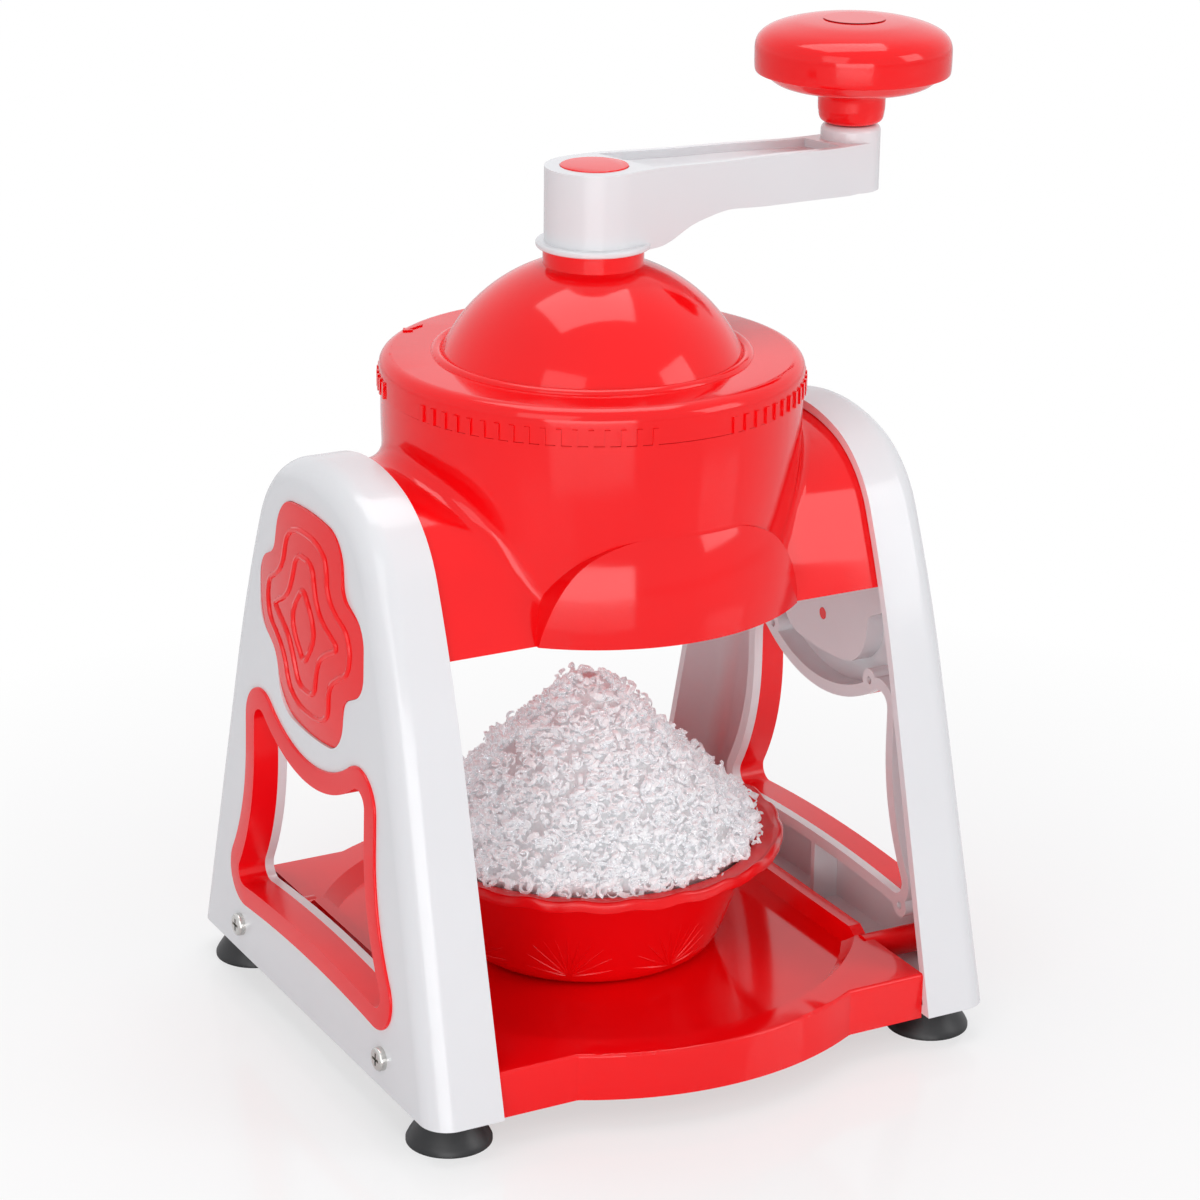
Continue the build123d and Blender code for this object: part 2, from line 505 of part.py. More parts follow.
def drip_tray():
    """The red tray between the frames, with a round recess, side rails and screw bosses."""
    tray = Pos(0, 0, TRAY_BOTTOM) * extrude(tray_outline(), TRAY_TOP - TRAY_BOTTOM)
    edge = [e for e in tray.faces().sort_by(Axis.Z)[-1].edges() if abs(e.center().X) < FRAME_OPEN_X - 1]
    tray = fillet(edge, TRAY_EDGE_FILLET)
    depth = TRAY_TOP - TRAY_FLOOR
    recess = Pos(0, 0, TRAY_FLOOR + depth / 2) * Cone(RECESS_RADIUS - RECESS_SLOPE, RECESS_RADIUS, depth)
    recess = recess & Box(2 * (FRAME_OPEN_X - RAIL_WIDTH), 4 * RECESS_RADIUS, 4 * TRAY_TOP)
    under = TRAY_FLOOR - TRAY_WALL
    hollow = offset(tray_outline(), -TRAY_WALL, kind=Kind.INTERSECTION)
    hollow = Pos(0, 0, TRAY_BOTTOM) * extrude(hollow, under - TRAY_BOTTOM)
    ribs = []
    for s in (-1, 0, 1):
        ribs.append(Pos(s * TRAY_RIB_SPACING, 0, 0) * Box(RIB_THICKNESS, 400, 400))
        ribs.append(Pos(0, s * TRAY_RIB_SPACING, 0) * Box(400, RIB_THICKNESS, 400))
    tray = tray - recess - (hollow - ribs)
    rail = Polyline((-RAIL_HALF - RAIL_SLOPE, TRAY_TOP - 1), (-RAIL_HALF - RAIL_SLOPE, TRAY_TOP),
                    (-RAIL_HALF, TRAY_TOP + RAIL_HEIGHT), (RAIL_HALF, TRAY_TOP + RAIL_HEIGHT),
                    (RAIL_HALF + RAIL_SLOPE, TRAY_TOP), (RAIL_HALF + RAIL_SLOPE, TRAY_TOP - 1), close=True)
    rail = across(make_face(rail), FRAME_OPEN_X - RAIL_WIDTH, FRAME_OPEN_X)
    additions = [rail, mirror(rail, Plane.YZ)]
    holes = []
    for s in (-1, 1):
        place = Pos(s * TRAY_SCREW_Y, TRAY_SCREW_Z)
        boss = across(place * Circle(TRAY_BOSS_RADIUS), FRAME_OPEN_X - TRAY_WALL, FRAME_OUTER_X)
        boss = boss & between_faces(-60, -FRAME_WALL)
        hole = face_plane(TRAY_SCREW_Z, 0, s * TRAY_SCREW_Y).location
        hole = hole * Pos(0, 0, -SCREW_LENGTH) * Cylinder(SCREW_RADIUS, 2 * SCREW_LENGTH + 2)
        additions += [boss, mirror(boss, Plane.YZ)]
        holes += [hole, mirror(hole, Plane.YZ)]
    return tray + additions - holes


# ---- Hopper ----

def hopper_profile(inset):
    """Height-by-height radius of the hopper's outside, moved in by a wall."""
    return [(r - inset, HOPPER_BOTTOM + z) for r, z in HOPPER_OUTSIDE]


def shoulder_z():
    """Top of the hopper's flare, where the collar for the lid starts."""
    return HOPPER_BOTTOM + HOPPER_OUTSIDE[-1][1]


def hopper_core(inset=0.0):
    """The hopper's flared cup as a full solid, without its collar."""
    points = hopper_profile(inset)
    top, bottom = points[-1], points[0]
    return turned(Spline(*points), Line(top, (0, top[1])), Line((0, top[1]), (0, bottom[1])),
                  Line((0, bottom[1]), bottom))


def chamber():
    """The room inside the hopper: it follows the outside, but never wider than the collar's bore."""
    bore = COLLAR_RADIUS - COLLAR_WALL
    top = shoulder_z() + COLLAR_HEIGHT
    room = hopper_core(HOPPER_WALL) & disc(bore, HOPPER_BOTTOM - 1, top)
    return room + disc(bore, shoulder_z() - 1, top + 1)


def wing_outline(inset=0.0):
    """The arch that runs from the hopper into each side frame, seen along X."""
    arch = offset(frame_outline(), -(FRAME_WALL + GAP + inset), kind=Kind.INTERSECTION)
    return arch & Pos(0, HOPPER_BOTTOM + 200) * Rectangle(400, 400)


def apron_blank(inset=0.0):
    """The bulged apron under the front, full, bounded above by an arch seen along Y."""
    low = (APRON_RADIUS - inset, HOPPER_BOTTOM)
    high = (APRON_TOP_RADIUS - inset, APRON_TOP_Z)
    mid = ((low[0] + high[0]) / 2 + APRON_BULGE, (low[1] + high[1]) / 2)
    bulge = turned(ThreePointArc(low, mid, high), Line(high, (0, high[1])),
                   Line((0, high[1]), (0, low[1])), Line((0, low[1]), low))
    points = [(x - inset if x else x, HOPPER_BOTTOM + max(z - (inset if z else 0), 0))
              for x, z in APRON_ARCH]
    both = points + [(-x, z) for x, z in reversed(points[:-1])]
    arch = make_face(Curve() + [Spline(*both), Line(both[-1], both[0])])
    return bulge & extrude(Plane.XZ * arch, 2 * APRON_RADIUS)


def hopper_body():
    """The red hopper: a flared cup with a collar, two wings into the frames and two aprons."""
    collar_top = shoulder_z() + COLLAR_HEIGHT
    outside = hopper_core()
    wings = across(wing_outline(), -PAD_INNER_X, PAD_INNER_X)
    ends = [e for f in (wings.faces().sort_by(Axis.X)[0], wings.faces().sort_by(Axis.X)[-1])
            for e in f.edges() if e.center().Z > HOPPER_BOTTOM + 1]
    wings = chamfer(ends, WING_END_CHAMFER)
    front = apron_blank() + mirror(apron_blank(), Plane.XZ)
    wings_on = outside + wings
    seam = [e for e in wings_on.edges() if e.geom_type not in (GeomType.LINE, GeomType.CIRCLE)
            and 30 < abs(e.center().X) < COLLAR_RADIUS + 5 and e.center().Z > HOPPER_BOTTOM + 5]
    wings_on = fillet(seam, WING_FILLET)
    body = wings_on + front + ring(COLLAR_RADIUS, COLLAR_RADIUS - COLLAR_WALL, shoulder_z() - 2, collar_top)

    cup = hopper_core(-0.01)
    hollow = across(wing_outline(HOPPER_WALL), -PAD_INNER_X + HOPPER_WALL, PAD_INNER_X - HOPPER_WALL)
    for s in (-1, 1):
        bosses = [Pos(s * (PAD_INNER_X - HOPPER_BOSS_DEPTH / 2), t * HOPPER_SCREW_Y, HOPPER_SCREW_Z)
                  * Rot(0, 90, 0) * Cylinder(HOPPER_BOSS_RADIUS, HOPPER_BOSS_DEPTH) for t in (-1, 1)]
        hollow = hollow - bosses
    hollow = hollow - cup
    inner = apron_blank(HOPPER_WALL)
    body = body - hollow - (inner - cup) - (mirror(inner, Plane.XZ) - cup) - chamber()
    ledge = ring(COLLAR_RADIUS + 2, LEDGE_RADIUS, LEDGE_Z, LEDGE_Z + LEDGE_HEIGHT)
    body = body + (ledge & hopper_core(HOPPER_WALL / 2))

    # Each lug drops down an entry slot in the collar and turns along a groove to lock.
    slot_angle = LUG_ANGLE + 3
    groove_bottom = LID_BOTTOM + LUG_RISE - GAP
    groove_top = groove_bottom + LUG_HEIGHT + 2 * GAP
    floor, rim = LID_RADIUS - LID_WALL - GAP / 2 - LUG_DEPTH - GAP, COLLAR_RADIUS + 0.1
    for n in range(LUG_COUNT):
        start = lug_angle(n) - slot_angle / 2
        body = body - arc_block(floor, rim, groove_bottom, collar_top + 1, start, slot_angle)
        body = body - arc_block(floor, rim, groove_bottom, groove_top, start - LOCK_ANGLE,
                                slot_angle + LOCK_ANGLE)
    drills = [Rot(0, 0, plate_screw_angle(n)) * Pos(PLATE_SCREW_CIRCLE, 0, 0)
              * disc(PLATE_SCREW_RADIUS, LEDGE_Z - 1, LEDGE_Z + LEDGE_HEIGHT + 1)
              for n in range(PLATE_SCREW_COUNT)]
    for s in (-1, 1):
        drills += [Pos(s * PAD_INNER_X, t * HOPPER_SCREW_Y, HOPPER_SCREW_Z) * Rot(0, 90, 0)
                   * Cylinder(SCREW_RADIUS, 2 * HOPPER_BOSS_DEPTH + 1) for t in (-1, 1)]
    return body - drills


def lug_angle(n):
    """Where the lid's lug number n stands at rest."""
    return 360 / LUG_COUNT * (n + 0.5)


def plate_screw_angle(n):
    """Where screw number n of the blade plate stands."""
    return 90 + 360 / PLATE_SCREW_COUNT * n


def arc_block(inner, outer, bottom, top, start, sweep):
    """A ring sector about Z from a start angle."""
    width, height = outer - inner, top - bottom
    section = Plane.XZ * Pos((inner + outer) / 2, (bottom + top) / 2) * Rectangle(width, height)
    return Rot(0, 0, start) * revolve(section, Axis.Z, revolution_arc=sweep)


# ---- Blade plate ----

def blade_place():
    """The blade's centre: flat on its slope, with the edge just over the plate by the slot."""
    back = BLADE_WIDTH / 2 * math.cos(math.radians(BLADE_ANGLE))
    drop = BLADE_WIDTH / 2 * math.sin(math.radians(BLADE_ANGLE))
    middle = SLOT_START + SLOT_LENGTH / 2
    return Pos(middle, back, LEDGE_Z + BLADE_PROUD - drop) * Rot(-BLADE_ANGLE, 0, 0)


def blade_plate():
    """The disc under the ice: a slot across it, and a wedge below that holds the blade."""
    bottom = LEDGE_Z - PLATE_THICKNESS
    radius = HOPPER_OUTSIDE[0][0] - HOPPER_WALL - GAP
    plate = disc(radius, bottom, LEDGE_Z)
    middle = SLOT_START + SLOT_LENGTH / 2
    drop = BLADE_WIDTH * math.sin(math.radians(BLADE_ANGLE))
    block = Pos(middle, BLADE_WIDTH / 2, bottom - drop / 2 + 0.5)
    block = block * Box(SLOT_LENGTH + 2, BLADE_WIDTH, drop + 1)
    plate = plate + (block & disc(radius, bottom - 2 * drop, LEDGE_Z))
    over = blade_place() * Pos(0, 0, -BLADE_THICKNESS / 2)
    room = over * Box(BLADE_LENGTH + 2 * PEG_FIT, BLADE_WIDTH + 2 * PEG_FIT, BLADE_THICKNESS)
    # Shavings fall in front of the edge, and the blade's bed is open to the ice above it.
    throat = Pos(middle, -SLOT_WIDTH / 2 + 0.5, bottom) * Box(SLOT_LENGTH, SLOT_WIDTH, 8 * PLATE_THICKNESS)
    above = over * Pos(0, 0, BLADE_WIDTH / 2) * Box(SLOT_LENGTH, BLADE_WIDTH, BLADE_WIDTH)
    plate = plate - throat - room - above
    hole = Pos(PLATE_SCREW_CIRCLE, 0, 0) * disc(PLATE_SCREW_RADIUS + PEG_FIT, bottom - 1, LEDGE_Z + 1)
    holes = [Rot(0, 0, plate_screw_angle(n)) * hole for n in range(PLATE_SCREW_COUNT)]
    holes += [place * Pos(0, 0, -4) * Cylinder(PLATE_SCREW_RADIUS, 8) for place in blade_screw_places()]
    return plate - holes


def blade_screw_places():
    """Seats of the blade's two screws, on the blade's upper face."""
    return [blade_place() * Pos(s * BLADE_SCREW_SPACING / 2, -BLADE_WIDTH / 4, 0) for s in (-1, 1)]


def shaving_blade():
    """The flat steel blade, ground to an edge along the slot."""
    flat = Pos(0, 0, -BLADE_THICKNESS / 2) * Box(BLADE_LENGTH, BLADE_WIDTH, BLADE_THICKNESS)
    edge = [e for e in flat.edges() if abs(e.center().Y - -BLADE_WIDTH / 2) < 0.01 and e.center().Z < -0.1]
    edge = [e for e in edge if e.length > BLADE_WIDTH]
    flat = chamfer(edge, BLADE_THICKNESS * 0.8, 2 * BLADE_THICKNESS)
    blade = blade_place() * flat
    return blade - [p * Cylinder(PLATE_SCREW_RADIUS + PEG_FIT, 8) for p in blade_screw_places()]


def blade_screws():
    """Two screws that hold the blade."""
    screw = pan_screw(PLATE_SCREW_RADIUS, BLADE_SCREW_LENGTH, PLATE_SCREW_HEAD, PLATE_SCREW_HEAD_HEIGHT)
    return [place * screw for place in blade_screw_places()]


def plate_screws():
    """Three screws up through the blade plate into the hopper's ledge."""
    screw = pan_screw(PLATE_SCREW_RADIUS, PLATE_SCREW_LENGTH, PLATE_SCREW_HEAD, PLATE_SCREW_HEAD_HEIGHT)
    screw = Rot(180, 0, 0) * screw
    return [Rot(0, 0, plate_screw_angle(n)) * Pos(PLATE_SCREW_CIRCLE, 0, LEDGE_Z - PLATE_THICKNESS) * screw
            for n in range(PLATE_SCREW_COUNT)]


# ---- Lid ----

def on_dome(radius, r):
    """Height of a dome sphere at a distance r from the crank axis."""
    return DOME_CENTRE_Z + math.sqrt(radius ** 2 - r ** 2)


def lid():
    """The lid: a ribbed skirt over the collar, a flat ring, a dome, and a boss for the bush."""
    inner_radius = DOME_RADIUS - DOME_WALL
    under = LID_TOP - LID_WALL
    bead_in, bead_out = BEAD_RADIUS - BEAD_WIDTH / 2, BEAD_RADIUS + BEAD_WIDTH / 2
    dome_foot = (bead_in, on_dome(DOME_RADIUS, bead_in))
    neck_foot = (LID_NECK_RADIUS, on_dome(DOME_RADIUS, LID_NECK_RADIUS))
    skirt = LID_RADIUS - LID_WALL - GAP / 2
    inner_foot = (math.sqrt(inner_radius ** 2 - (under - DOME_CENTRE_Z) ** 2), under)
    inner_top = (LID_BOSS_RADIUS, on_dome(inner_radius, LID_BOSS_RADIUS))
    bore = BUSH_RADIUS + RUNNING_FIT

    def on_arc(radius, start, end):
        r = (start[0] + end[0]) / 2
        return ThreePointArc(start, (r, on_dome(radius, r)), end)

    corner = LID_RADIUS - LID_EDGE_FILLET
    knee = LID_TOP - LID_EDGE_FILLET
    diagonal = LID_EDGE_FILLET * math.sqrt(0.5)
    body = turned(
        Line((skirt, LID_BOTTOM), (LID_RADIUS, LID_BOTTOM)),
        Line((LID_RADIUS, LID_BOTTOM), (LID_RADIUS, knee)),
        ThreePointArc((LID_RADIUS, knee), (corner + diagonal, knee + diagonal), (corner, LID_TOP)),
        Line((corner, LID_TOP), (bead_out, LID_TOP)),
        ThreePointArc((bead_out, LID_TOP), (BEAD_RADIUS, LID_TOP + BEAD_HEIGHT), dome_foot),
        on_arc(DOME_RADIUS, dome_foot, neck_foot),
        Line(neck_foot, (LID_NECK_RADIUS, LID_NECK_TOP)),
        Line((LID_NECK_RADIUS, LID_NECK_TOP), (bore, LID_NECK_TOP)),
        Line((bore, LID_NECK_TOP), (bore, LID_BOSS_BOTTOM)),
        Line((bore, LID_BOSS_BOTTOM), (LID_BOSS_RADIUS, LID_BOSS_BOTTOM)),
        Line((LID_BOSS_RADIUS, LID_BOSS_BOTTOM), inner_top),
        on_arc(inner_radius, inner_top, inner_foot),
        Line(inner_foot, (skirt, under)),
        Line((skirt, under), (skirt, LID_BOTTOM)),
    )
    start = (LID_BOSS_RADIUS + bore) / 2
    ends = [(start, on_dome(inner_radius + 1, start)), (WEB_REACH, on_dome(inner_radius + 1, WEB_REACH))]
    web = Polyline((start, LID_BOSS_BOTTOM + 1), ends[0], ends[1], (WEB_REACH, ends[1][1] - 3), close=True)
    web = extrude(Plane.XZ * make_face(web), WEB_THICKNESS / 2, both=True)
    extras = [Rot(0, 0, 360 / WEB_COUNT * n) * web for n in range(WEB_COUNT)]
    rib = Pos(LID_RADIUS, 0, LID_BOTTOM + GRIP_HEIGHT / 2) * Box(2 * GRIP_PROUD, GRIP_WIDTH, GRIP_HEIGHT)
    for group in range(GRIP_GROUPS):
        first = 360 / GRIP_GROUPS * (group + 0.5) - (GRIP_RIBS - 1) / 2 * GRIP_PITCH
        extras += [Rot(0, 0, first + n * GRIP_PITCH) * rib for n in range(GRIP_RIBS)]
    lug_bottom = LID_BOTTOM + LUG_RISE
    extras += [arc_block(skirt - LUG_DEPTH, skirt + 0.5, lug_bottom, lug_bottom + LUG_HEIGHT,
                         lug_angle(n) - LUG_ANGLE / 2, LUG_ANGLE) for n in range(LUG_COUNT)]
    bar = Rectangle(ARROW_LENGTH, ARROW_WIDTH)
    tip = Pos(ARROW_LENGTH / 2, 0)
    barbs = [tip * Rot(0, 0, s * 145) * Pos(ARROW_HEAD / 2, 0) * Rectangle(ARROW_HEAD, ARROW_WIDTH)
             for s in (-1, 1)]
    arrow = Pos(*ARROW_PLACE, LID_TOP - 0.2) * Rot(0, 0, ARROW_DIRECTION)
    extras.append(arrow * extrude(bar + barbs, 0.2 + ARROW_HEIGHT))
    return body + extras


# ---- Shaft group ----

def shaft_bush():
    """The flanged nylon bush in the lid's neck, where the shaft runs."""
    bottom = LID_NECK_TOP + GAP / 3
    bush = ring(BUSH_RADIUS, SHAFT_RADIUS + RUNNING_FIT, LID_BOSS_BOTTOM, bottom + BUSH_FLANGE_HEIGHT)
    return bush + ring(BUSH_FLANGE_RADIUS, SHAFT_RADIUS + RUNNING_FIT, bottom, bottom + BUSH_FLANGE_HEIGHT)


def ring_top():
    """Top of the retaining ring, just under the lid's boss."""
    return LID_BOSS_BOTTOM - GAP


def clip_top():
    """Top of the clip, just under the retaining ring."""
    return ring_top() - RING_THICKNESS - 0.1


def crank_shaft():
    """The steel shaft: hexagonal where the presser slides and in the crank's hub, round between."""
    round_top = hub_boss_bottom()
    shaft = hexagon(SHAFT_HEX, SHAFT_BOTTOM, HUB_SOCKET_TOP)
    shaft = shaft + disc(SHAFT_RADIUS, SHAFT_ROUND_BOTTOM, round_top)
    groove = ring(SHAFT_RADIUS + 1, SHAFT_RADIUS - CLIP_GROOVE, clip_top() - CLIP_THICKNESS, clip_top())
    ends = disc(STOP_SCREW_RADIUS, SHAFT_BOTTOM - 1, SHAFT_BOTTOM + STOP_SCREW_LENGTH)
    ends = ends + disc(CRANK_SCREW_RADIUS, HUB_SOCKET_TOP - CRANK_SCREW_LENGTH, HUB_SOCKET_TOP + 1)
    return shaft - groove - ends


def shaft_ring():
    """The washer that bears on the underside of the lid's boss."""
    return ring(RING_RADIUS, SHAFT_RADIUS + RUNNING_FIT, ring_top() - RING_THICKNESS, ring_top())


def shaft_clip():
    """The open spring clip in the shaft's groove, under the washer."""
    top, bottom = clip_top(), clip_top() - CLIP_THICKNESS
    clip = ring(CLIP_RADIUS, SHAFT_RADIUS - CLIP_GROOVE, bottom, top)
    return clip - arc_block(0.1, CLIP_RADIUS + 1, bottom - 1, top + 1, -CLIP_OPENING / 2, CLIP_OPENING)


def ice_presser():
    """The toothed disc that grips the ice, turned by the hexagon and free to slide on it."""
    top = PRESSER_BOTTOM + PRESSER_THICKNESS
    presser = disc(PRESSER_RADIUS, PRESSER_BOTTOM, top)
    presser = fillet(presser.edges().group_by(Axis.Z)[-1], 1)
    spike = Pos(0, 0, PRESSER_BOTTOM - SPIKE_LENGTH / 2 + 0.25)
    spike = spike * Cone(0.5, SPIKE_RADIUS, SPIKE_LENGTH + 0.5)
    extras = [disc(PRESSER_HUB_RADIUS, PRESSER_BOTTOM, PRESSER_HUB_TOP)]
    for radius, count in SPIKE_RINGS:
        extras += [Rot(0, 0, 360 / count * n) * Pos(radius, 0, 0) * spike for n in range(count)]
    length = PRESSER_RADIUS - 3
    rib = Pos(length / 2, 0, top + PRESSER_RIB_HEIGHT / 2 - 0.5)
    rib = rib * Box(length, RIB_THICKNESS, PRESSER_RIB_HEIGHT + 1)
    extras += [Rot(0, 0, 360 / PRESSER_RIBS * (n + 0.5)) * rib for n in range(PRESSER_RIBS)]
    bore = hexagon(SHAFT_HEX + PRESSER_HEX_FIT, PRESSER_BOTTOM - 1, PRESSER_HUB_TOP + 1)
    return presser + extras - bore


def presser_washer():
    """The washer at the shaft's end that stops the presser."""
    top = SHAFT_BOTTOM
    return ring(STOP_RADIUS, STOP_SCREW_RADIUS + PEG_FIT, top - STOP_THICKNESS, top)


def presser_screw():
    """The screw that holds the washer to the shaft's end."""
    screw = pan_screw(STOP_SCREW_RADIUS, STOP_SCREW_LENGTH, STOP_SCREW_HEAD, STOP_SCREW_HEAD_HEIGHT)
    return Pos(0, 0, SHAFT_BOTTOM - STOP_THICKNESS) * Rot(180, 0, 0) * screw


def press_spring():
    """The coil spring between the clip and the presser, one wire on arcs of a quarter turn."""
    bottom = PRESSER_HUB_TOP + GAP + SPRING_WIRE
    rise = clip_top() - CLIP_THICKNESS - GAP - SPRING_WIRE - bottom
    steps, radius = 4 * SPRING_TURNS, SPRING_RADIUS
    climb = rise / math.radians(360 * SPRING_TURNS)

    def place(n):
        angle = math.radians(90 * n)
        return Vector(radius * math.cos(angle), radius * math.sin(angle), bottom + rise * n / steps)

    def heading(n):
        angle = math.radians(90 * n)
        return Vector(-radius * math.sin(angle), radius * math.cos(angle), climb).normalized()

    arcs = []
    for n in range(steps):
        start, end, leave, arrive = place(n), place(n + 1), heading(n), heading(n + 1)
        chord = end - start
        a = 2 * (1 - leave.dot(arrive))
        b = 2 * chord.dot(leave + arrive)
        reach = (-b + math.sqrt(b * b + 4 * a * chord.dot(chord))) / (2 * a)
        joint = (start + leave * reach + end - arrive * reach) * 0.5
        arcs.append(TangentArc(start, joint, tangent=leave))
        arcs.append(TangentArc(joint, end, tangent=arcs[-1] % 1))
    path = Wire([edge for arc in arcs for edge in arc.edges()])
    section = Plane(path @ 0, z_dir=path % 0) * Circle(SPRING_WIRE)
    print("spring: least gap to itself", round(rise / SPRING_TURNS - 2 * SPRING_WIRE, 2))
    return sweep(section, path=path)


# ---- Crank ----

def hub_boss_bottom():
    """Underside of the crank's inner boss, just over the bush's flange."""
    return LID_NECK_TOP + GAP / 3 + BUSH_FLANGE_HEIGHT + GAP


def arm_plan(inset=0.0):
    """The crank seen from above: a round hub that tapers to a round end."""
    ends = [Circle(HUB_RADIUS - inset), Pos(CRANK_REACH, 0) * Circle(ARM_END_RADIUS - inset)]
    return make_hull(ends[0].edges() + ends[1].edges())


def arm_side(top_drop, under_rise, start=-40.0):
    """The crank seen from the side, in (X, Z), between a dropped top and a raised underside."""
    end = CRANK_REACH + 40
    top = [(start, HUB_TOP - top_drop), (0.0, HUB_TOP - top_drop)]
    top += [(x, HUB_BOTTOM + z - top_drop) for x, z in ARM_TOP[:-1]]
    top.append((end, HUB_BOTTOM + ARM_TOP[-1][1] - top_drop))
    under = [(start, HUB_BOTTOM + under_rise), (ARM_UNDER[0][0] - 14, HUB_BOTTOM + under_rise)]
    under += [(x, HUB_BOTTOM + z + under_rise) for x, z in ARM_UNDER] + [(end, ARM_END_Z + under_rise)]
    edges = [Line(top[0], top[1]), Spline(*top[1:], tangents=((1, 0), (1, -0.09))),
             Line(top[-1], under[-1]), Line(under[-1], under[-2]),
             Spline(*reversed(under[1:-1]), tangents=((-1, 0.08), (-1, 0))), Line(under[1], under[0]),
             Line(under[0], top[0])]
    return make_face(Curve() + edges)


def arm_body(inset, top_drop, under_rise):
    """The crank's outer shape, or the room inside it."""
    plan = Pos(0, 0, HUB_BOTTOM - 20) * extrude(arm_plan(inset), HUB_TOP - HUB_BOTTOM + 40)
    side = extrude(Plane.XZ * arm_side(top_drop, under_rise), 2 * HUB_RADIUS, both=True)
    return plan & side


def crank_arm():
    """The white crank: a hub over the lid's neck, a channelled arm and a post for the knob."""
    arm = arm_body(0, 0, 0)
    post = Pos(CRANK_REACH, 0, 0) * disc(ARM_END_RADIUS, ARM_END_Z, POST_TOP)
    post = fillet(post.edges().sort_by(Axis.Z)[-1], POST_TOP_FILLET)
    lip = disc(HUB_RADIUS + HUB_LIP, HUB_BOTTOM, HUB_BOTTOM + HUB_LIP_HEIGHT)
    lip = fillet(lip.edges(), HUB_LIP_HEIGHT * 0.4)
    arm = arm + post + lip

    channel = arm_body(ARM_CHANNEL_FLANGE, 0, 0) & Pos(CRANK_REACH / 2, 0, HUB_TOP) * Box(
        CRANK_REACH - CAP_RADIUS - ARM_END_RADIUS - 6, 4 * HUB_RADIUS, 4 * HUB_TOP)
    channel = channel - arm_body(0, ARM_CHANNEL, -20)
    inside = arm_body(ARM_WALL, ARM_CHANNEL + ARM_WALL, -20)
    inside = inside - disc(HUB_BOSS_RADIUS, hub_boss_bottom(), HUB_TOP + 1)
    inside = inside - Pos(CRANK_REACH, 0, 0) * disc(POST_CORE_RADIUS, ARM_END_Z, POST_TOP)
    arm = arm - channel - inside

    screw_seat = HUB_SOCKET_TOP + ARM_WALL / 2
    cap_seat = HUB_TOP - CAP_THICKNESS
    cuts = [disc(CAP_RADIUS + PEG_FIT, cap_seat, HUB_TOP + 1),
            disc(CRANK_SCREW_HEAD + 1, screw_seat, cap_seat + 1),
            disc(CRANK_SCREW_RADIUS + PEG_FIT, HUB_SOCKET_TOP - 1, screw_seat + 1),
            hexagon(SHAFT_HEX + 2 * PEG_FIT, hub_boss_bottom() - 1, HUB_SOCKET_TOP)]
    end = Pos(CRANK_REACH, 0, 0)
    cuts.append(end * disc(BOLT_RADIUS + RUNNING_FIT, ARM_END_Z - 1, POST_TOP + 1))
    cuts.append(end * hexagon(NUT_FLATS + 2 * PEG_FIT, ARM_END_Z - 1, NUT_BOTTOM + NUT_HEIGHT))
    return arm - cuts


def crank_cap():
    """The red disc that covers the crank's screw."""
    cap = disc(CAP_RADIUS, HUB_TOP - CAP_THICKNESS, HUB_TOP + CAP_PROUD)
    return fillet(cap.edges().sort_by(Axis.Z)[-1], 0.4)


def crank_screw():
    """The screw down through the crank's hub into the shaft."""
    screw = pan_screw(CRANK_SCREW_RADIUS, CRANK_SCREW_LENGTH, CRANK_SCREW_HEAD, CRANK_SCREW_HEAD_HEIGHT)
    return Pos(0, 0, HUB_SOCKET_TOP + ARM_WALL / 2) * screw


# ---- Knob, on its own axis ----

def knob_outer():
    """The knob as a full solid: a neck, a rounded underside and a crowned top."""
    neck = [(r, KNOB_BOTTOM + z) for r, z in KNOB_NECK]
    under = [(r, KNOB_BOTTOM + z) for r, z in KNOB_UNDER]
    widest = (KNOB_RADIUS, KNOB_WIDEST_Z)
    parting = (KNOB_RADIUS, KNOB_PARTING_Z)
    crown = [(r, KNOB_BOTTOM + z) for r, z in KNOB_CROWN]
    top = (0, KNOB_TOP_Z)
    return turned(Line((0, neck[0][1]), neck[0]), Spline(*neck, tangents=((1, 0.3), (0, 1))),
                  Spline(neck[-1], *under, widest, tangents=((0, 1), (0, 1))), Line(widest, parting),
                  Spline(parting, *crown, top, tangents=((0, 1), (-1, 0))), Line(top, (0, neck[0][1])))


def knob_bottom():
    """The knob's lower shell, with its neck and the sleeve that turns on the bolt."""
    floor = KNOB_BOTTOM + KNOB_UNDER[1][1] + KNOB_WALL
    shell = knob_outer() - disc(2 * KNOB_RADIUS, KNOB_PARTING_Z, KNOB_TOP_Z + 1)
    over = KNOB_PARTING_Z + 1
    low = [(KNOB_SLEEVE_RADIUS, floor), (KNOB_UNDER[1][0], floor),
           (KNOB_UNDER[2][0] - KNOB_WALL, floor + 2.6), (KNOB_RADIUS - KNOB_WALL, KNOB_WIDEST_Z)]
    room = turned(Line((0, floor), low[0]), Line(low[0], low[1]),
                  Spline(*low[1:], tangents=((1, 0), (0, 1))), Line(low[-1], (low[-1][0], over)),
                  Line((low[-1][0], over), (0, over)), Line((0, over), (0, floor)))
    neck_room = ring(KNOB_NECK[-1][0] - KNOB_WALL, KNOB_SLEEVE_RADIUS, KNOB_BOTTOM + KNOB_WALL, floor + 1)
    bore = disc(BOLT_RADIUS + RUNNING_FIT, KNOB_BOTTOM - 1, floor + 1)
    seat = disc(BOLT_HEAD_RADIUS + 0.4, KNOB_SLEEVE_TOP, floor + 1)
    return shell - room - neck_room - bore - seat


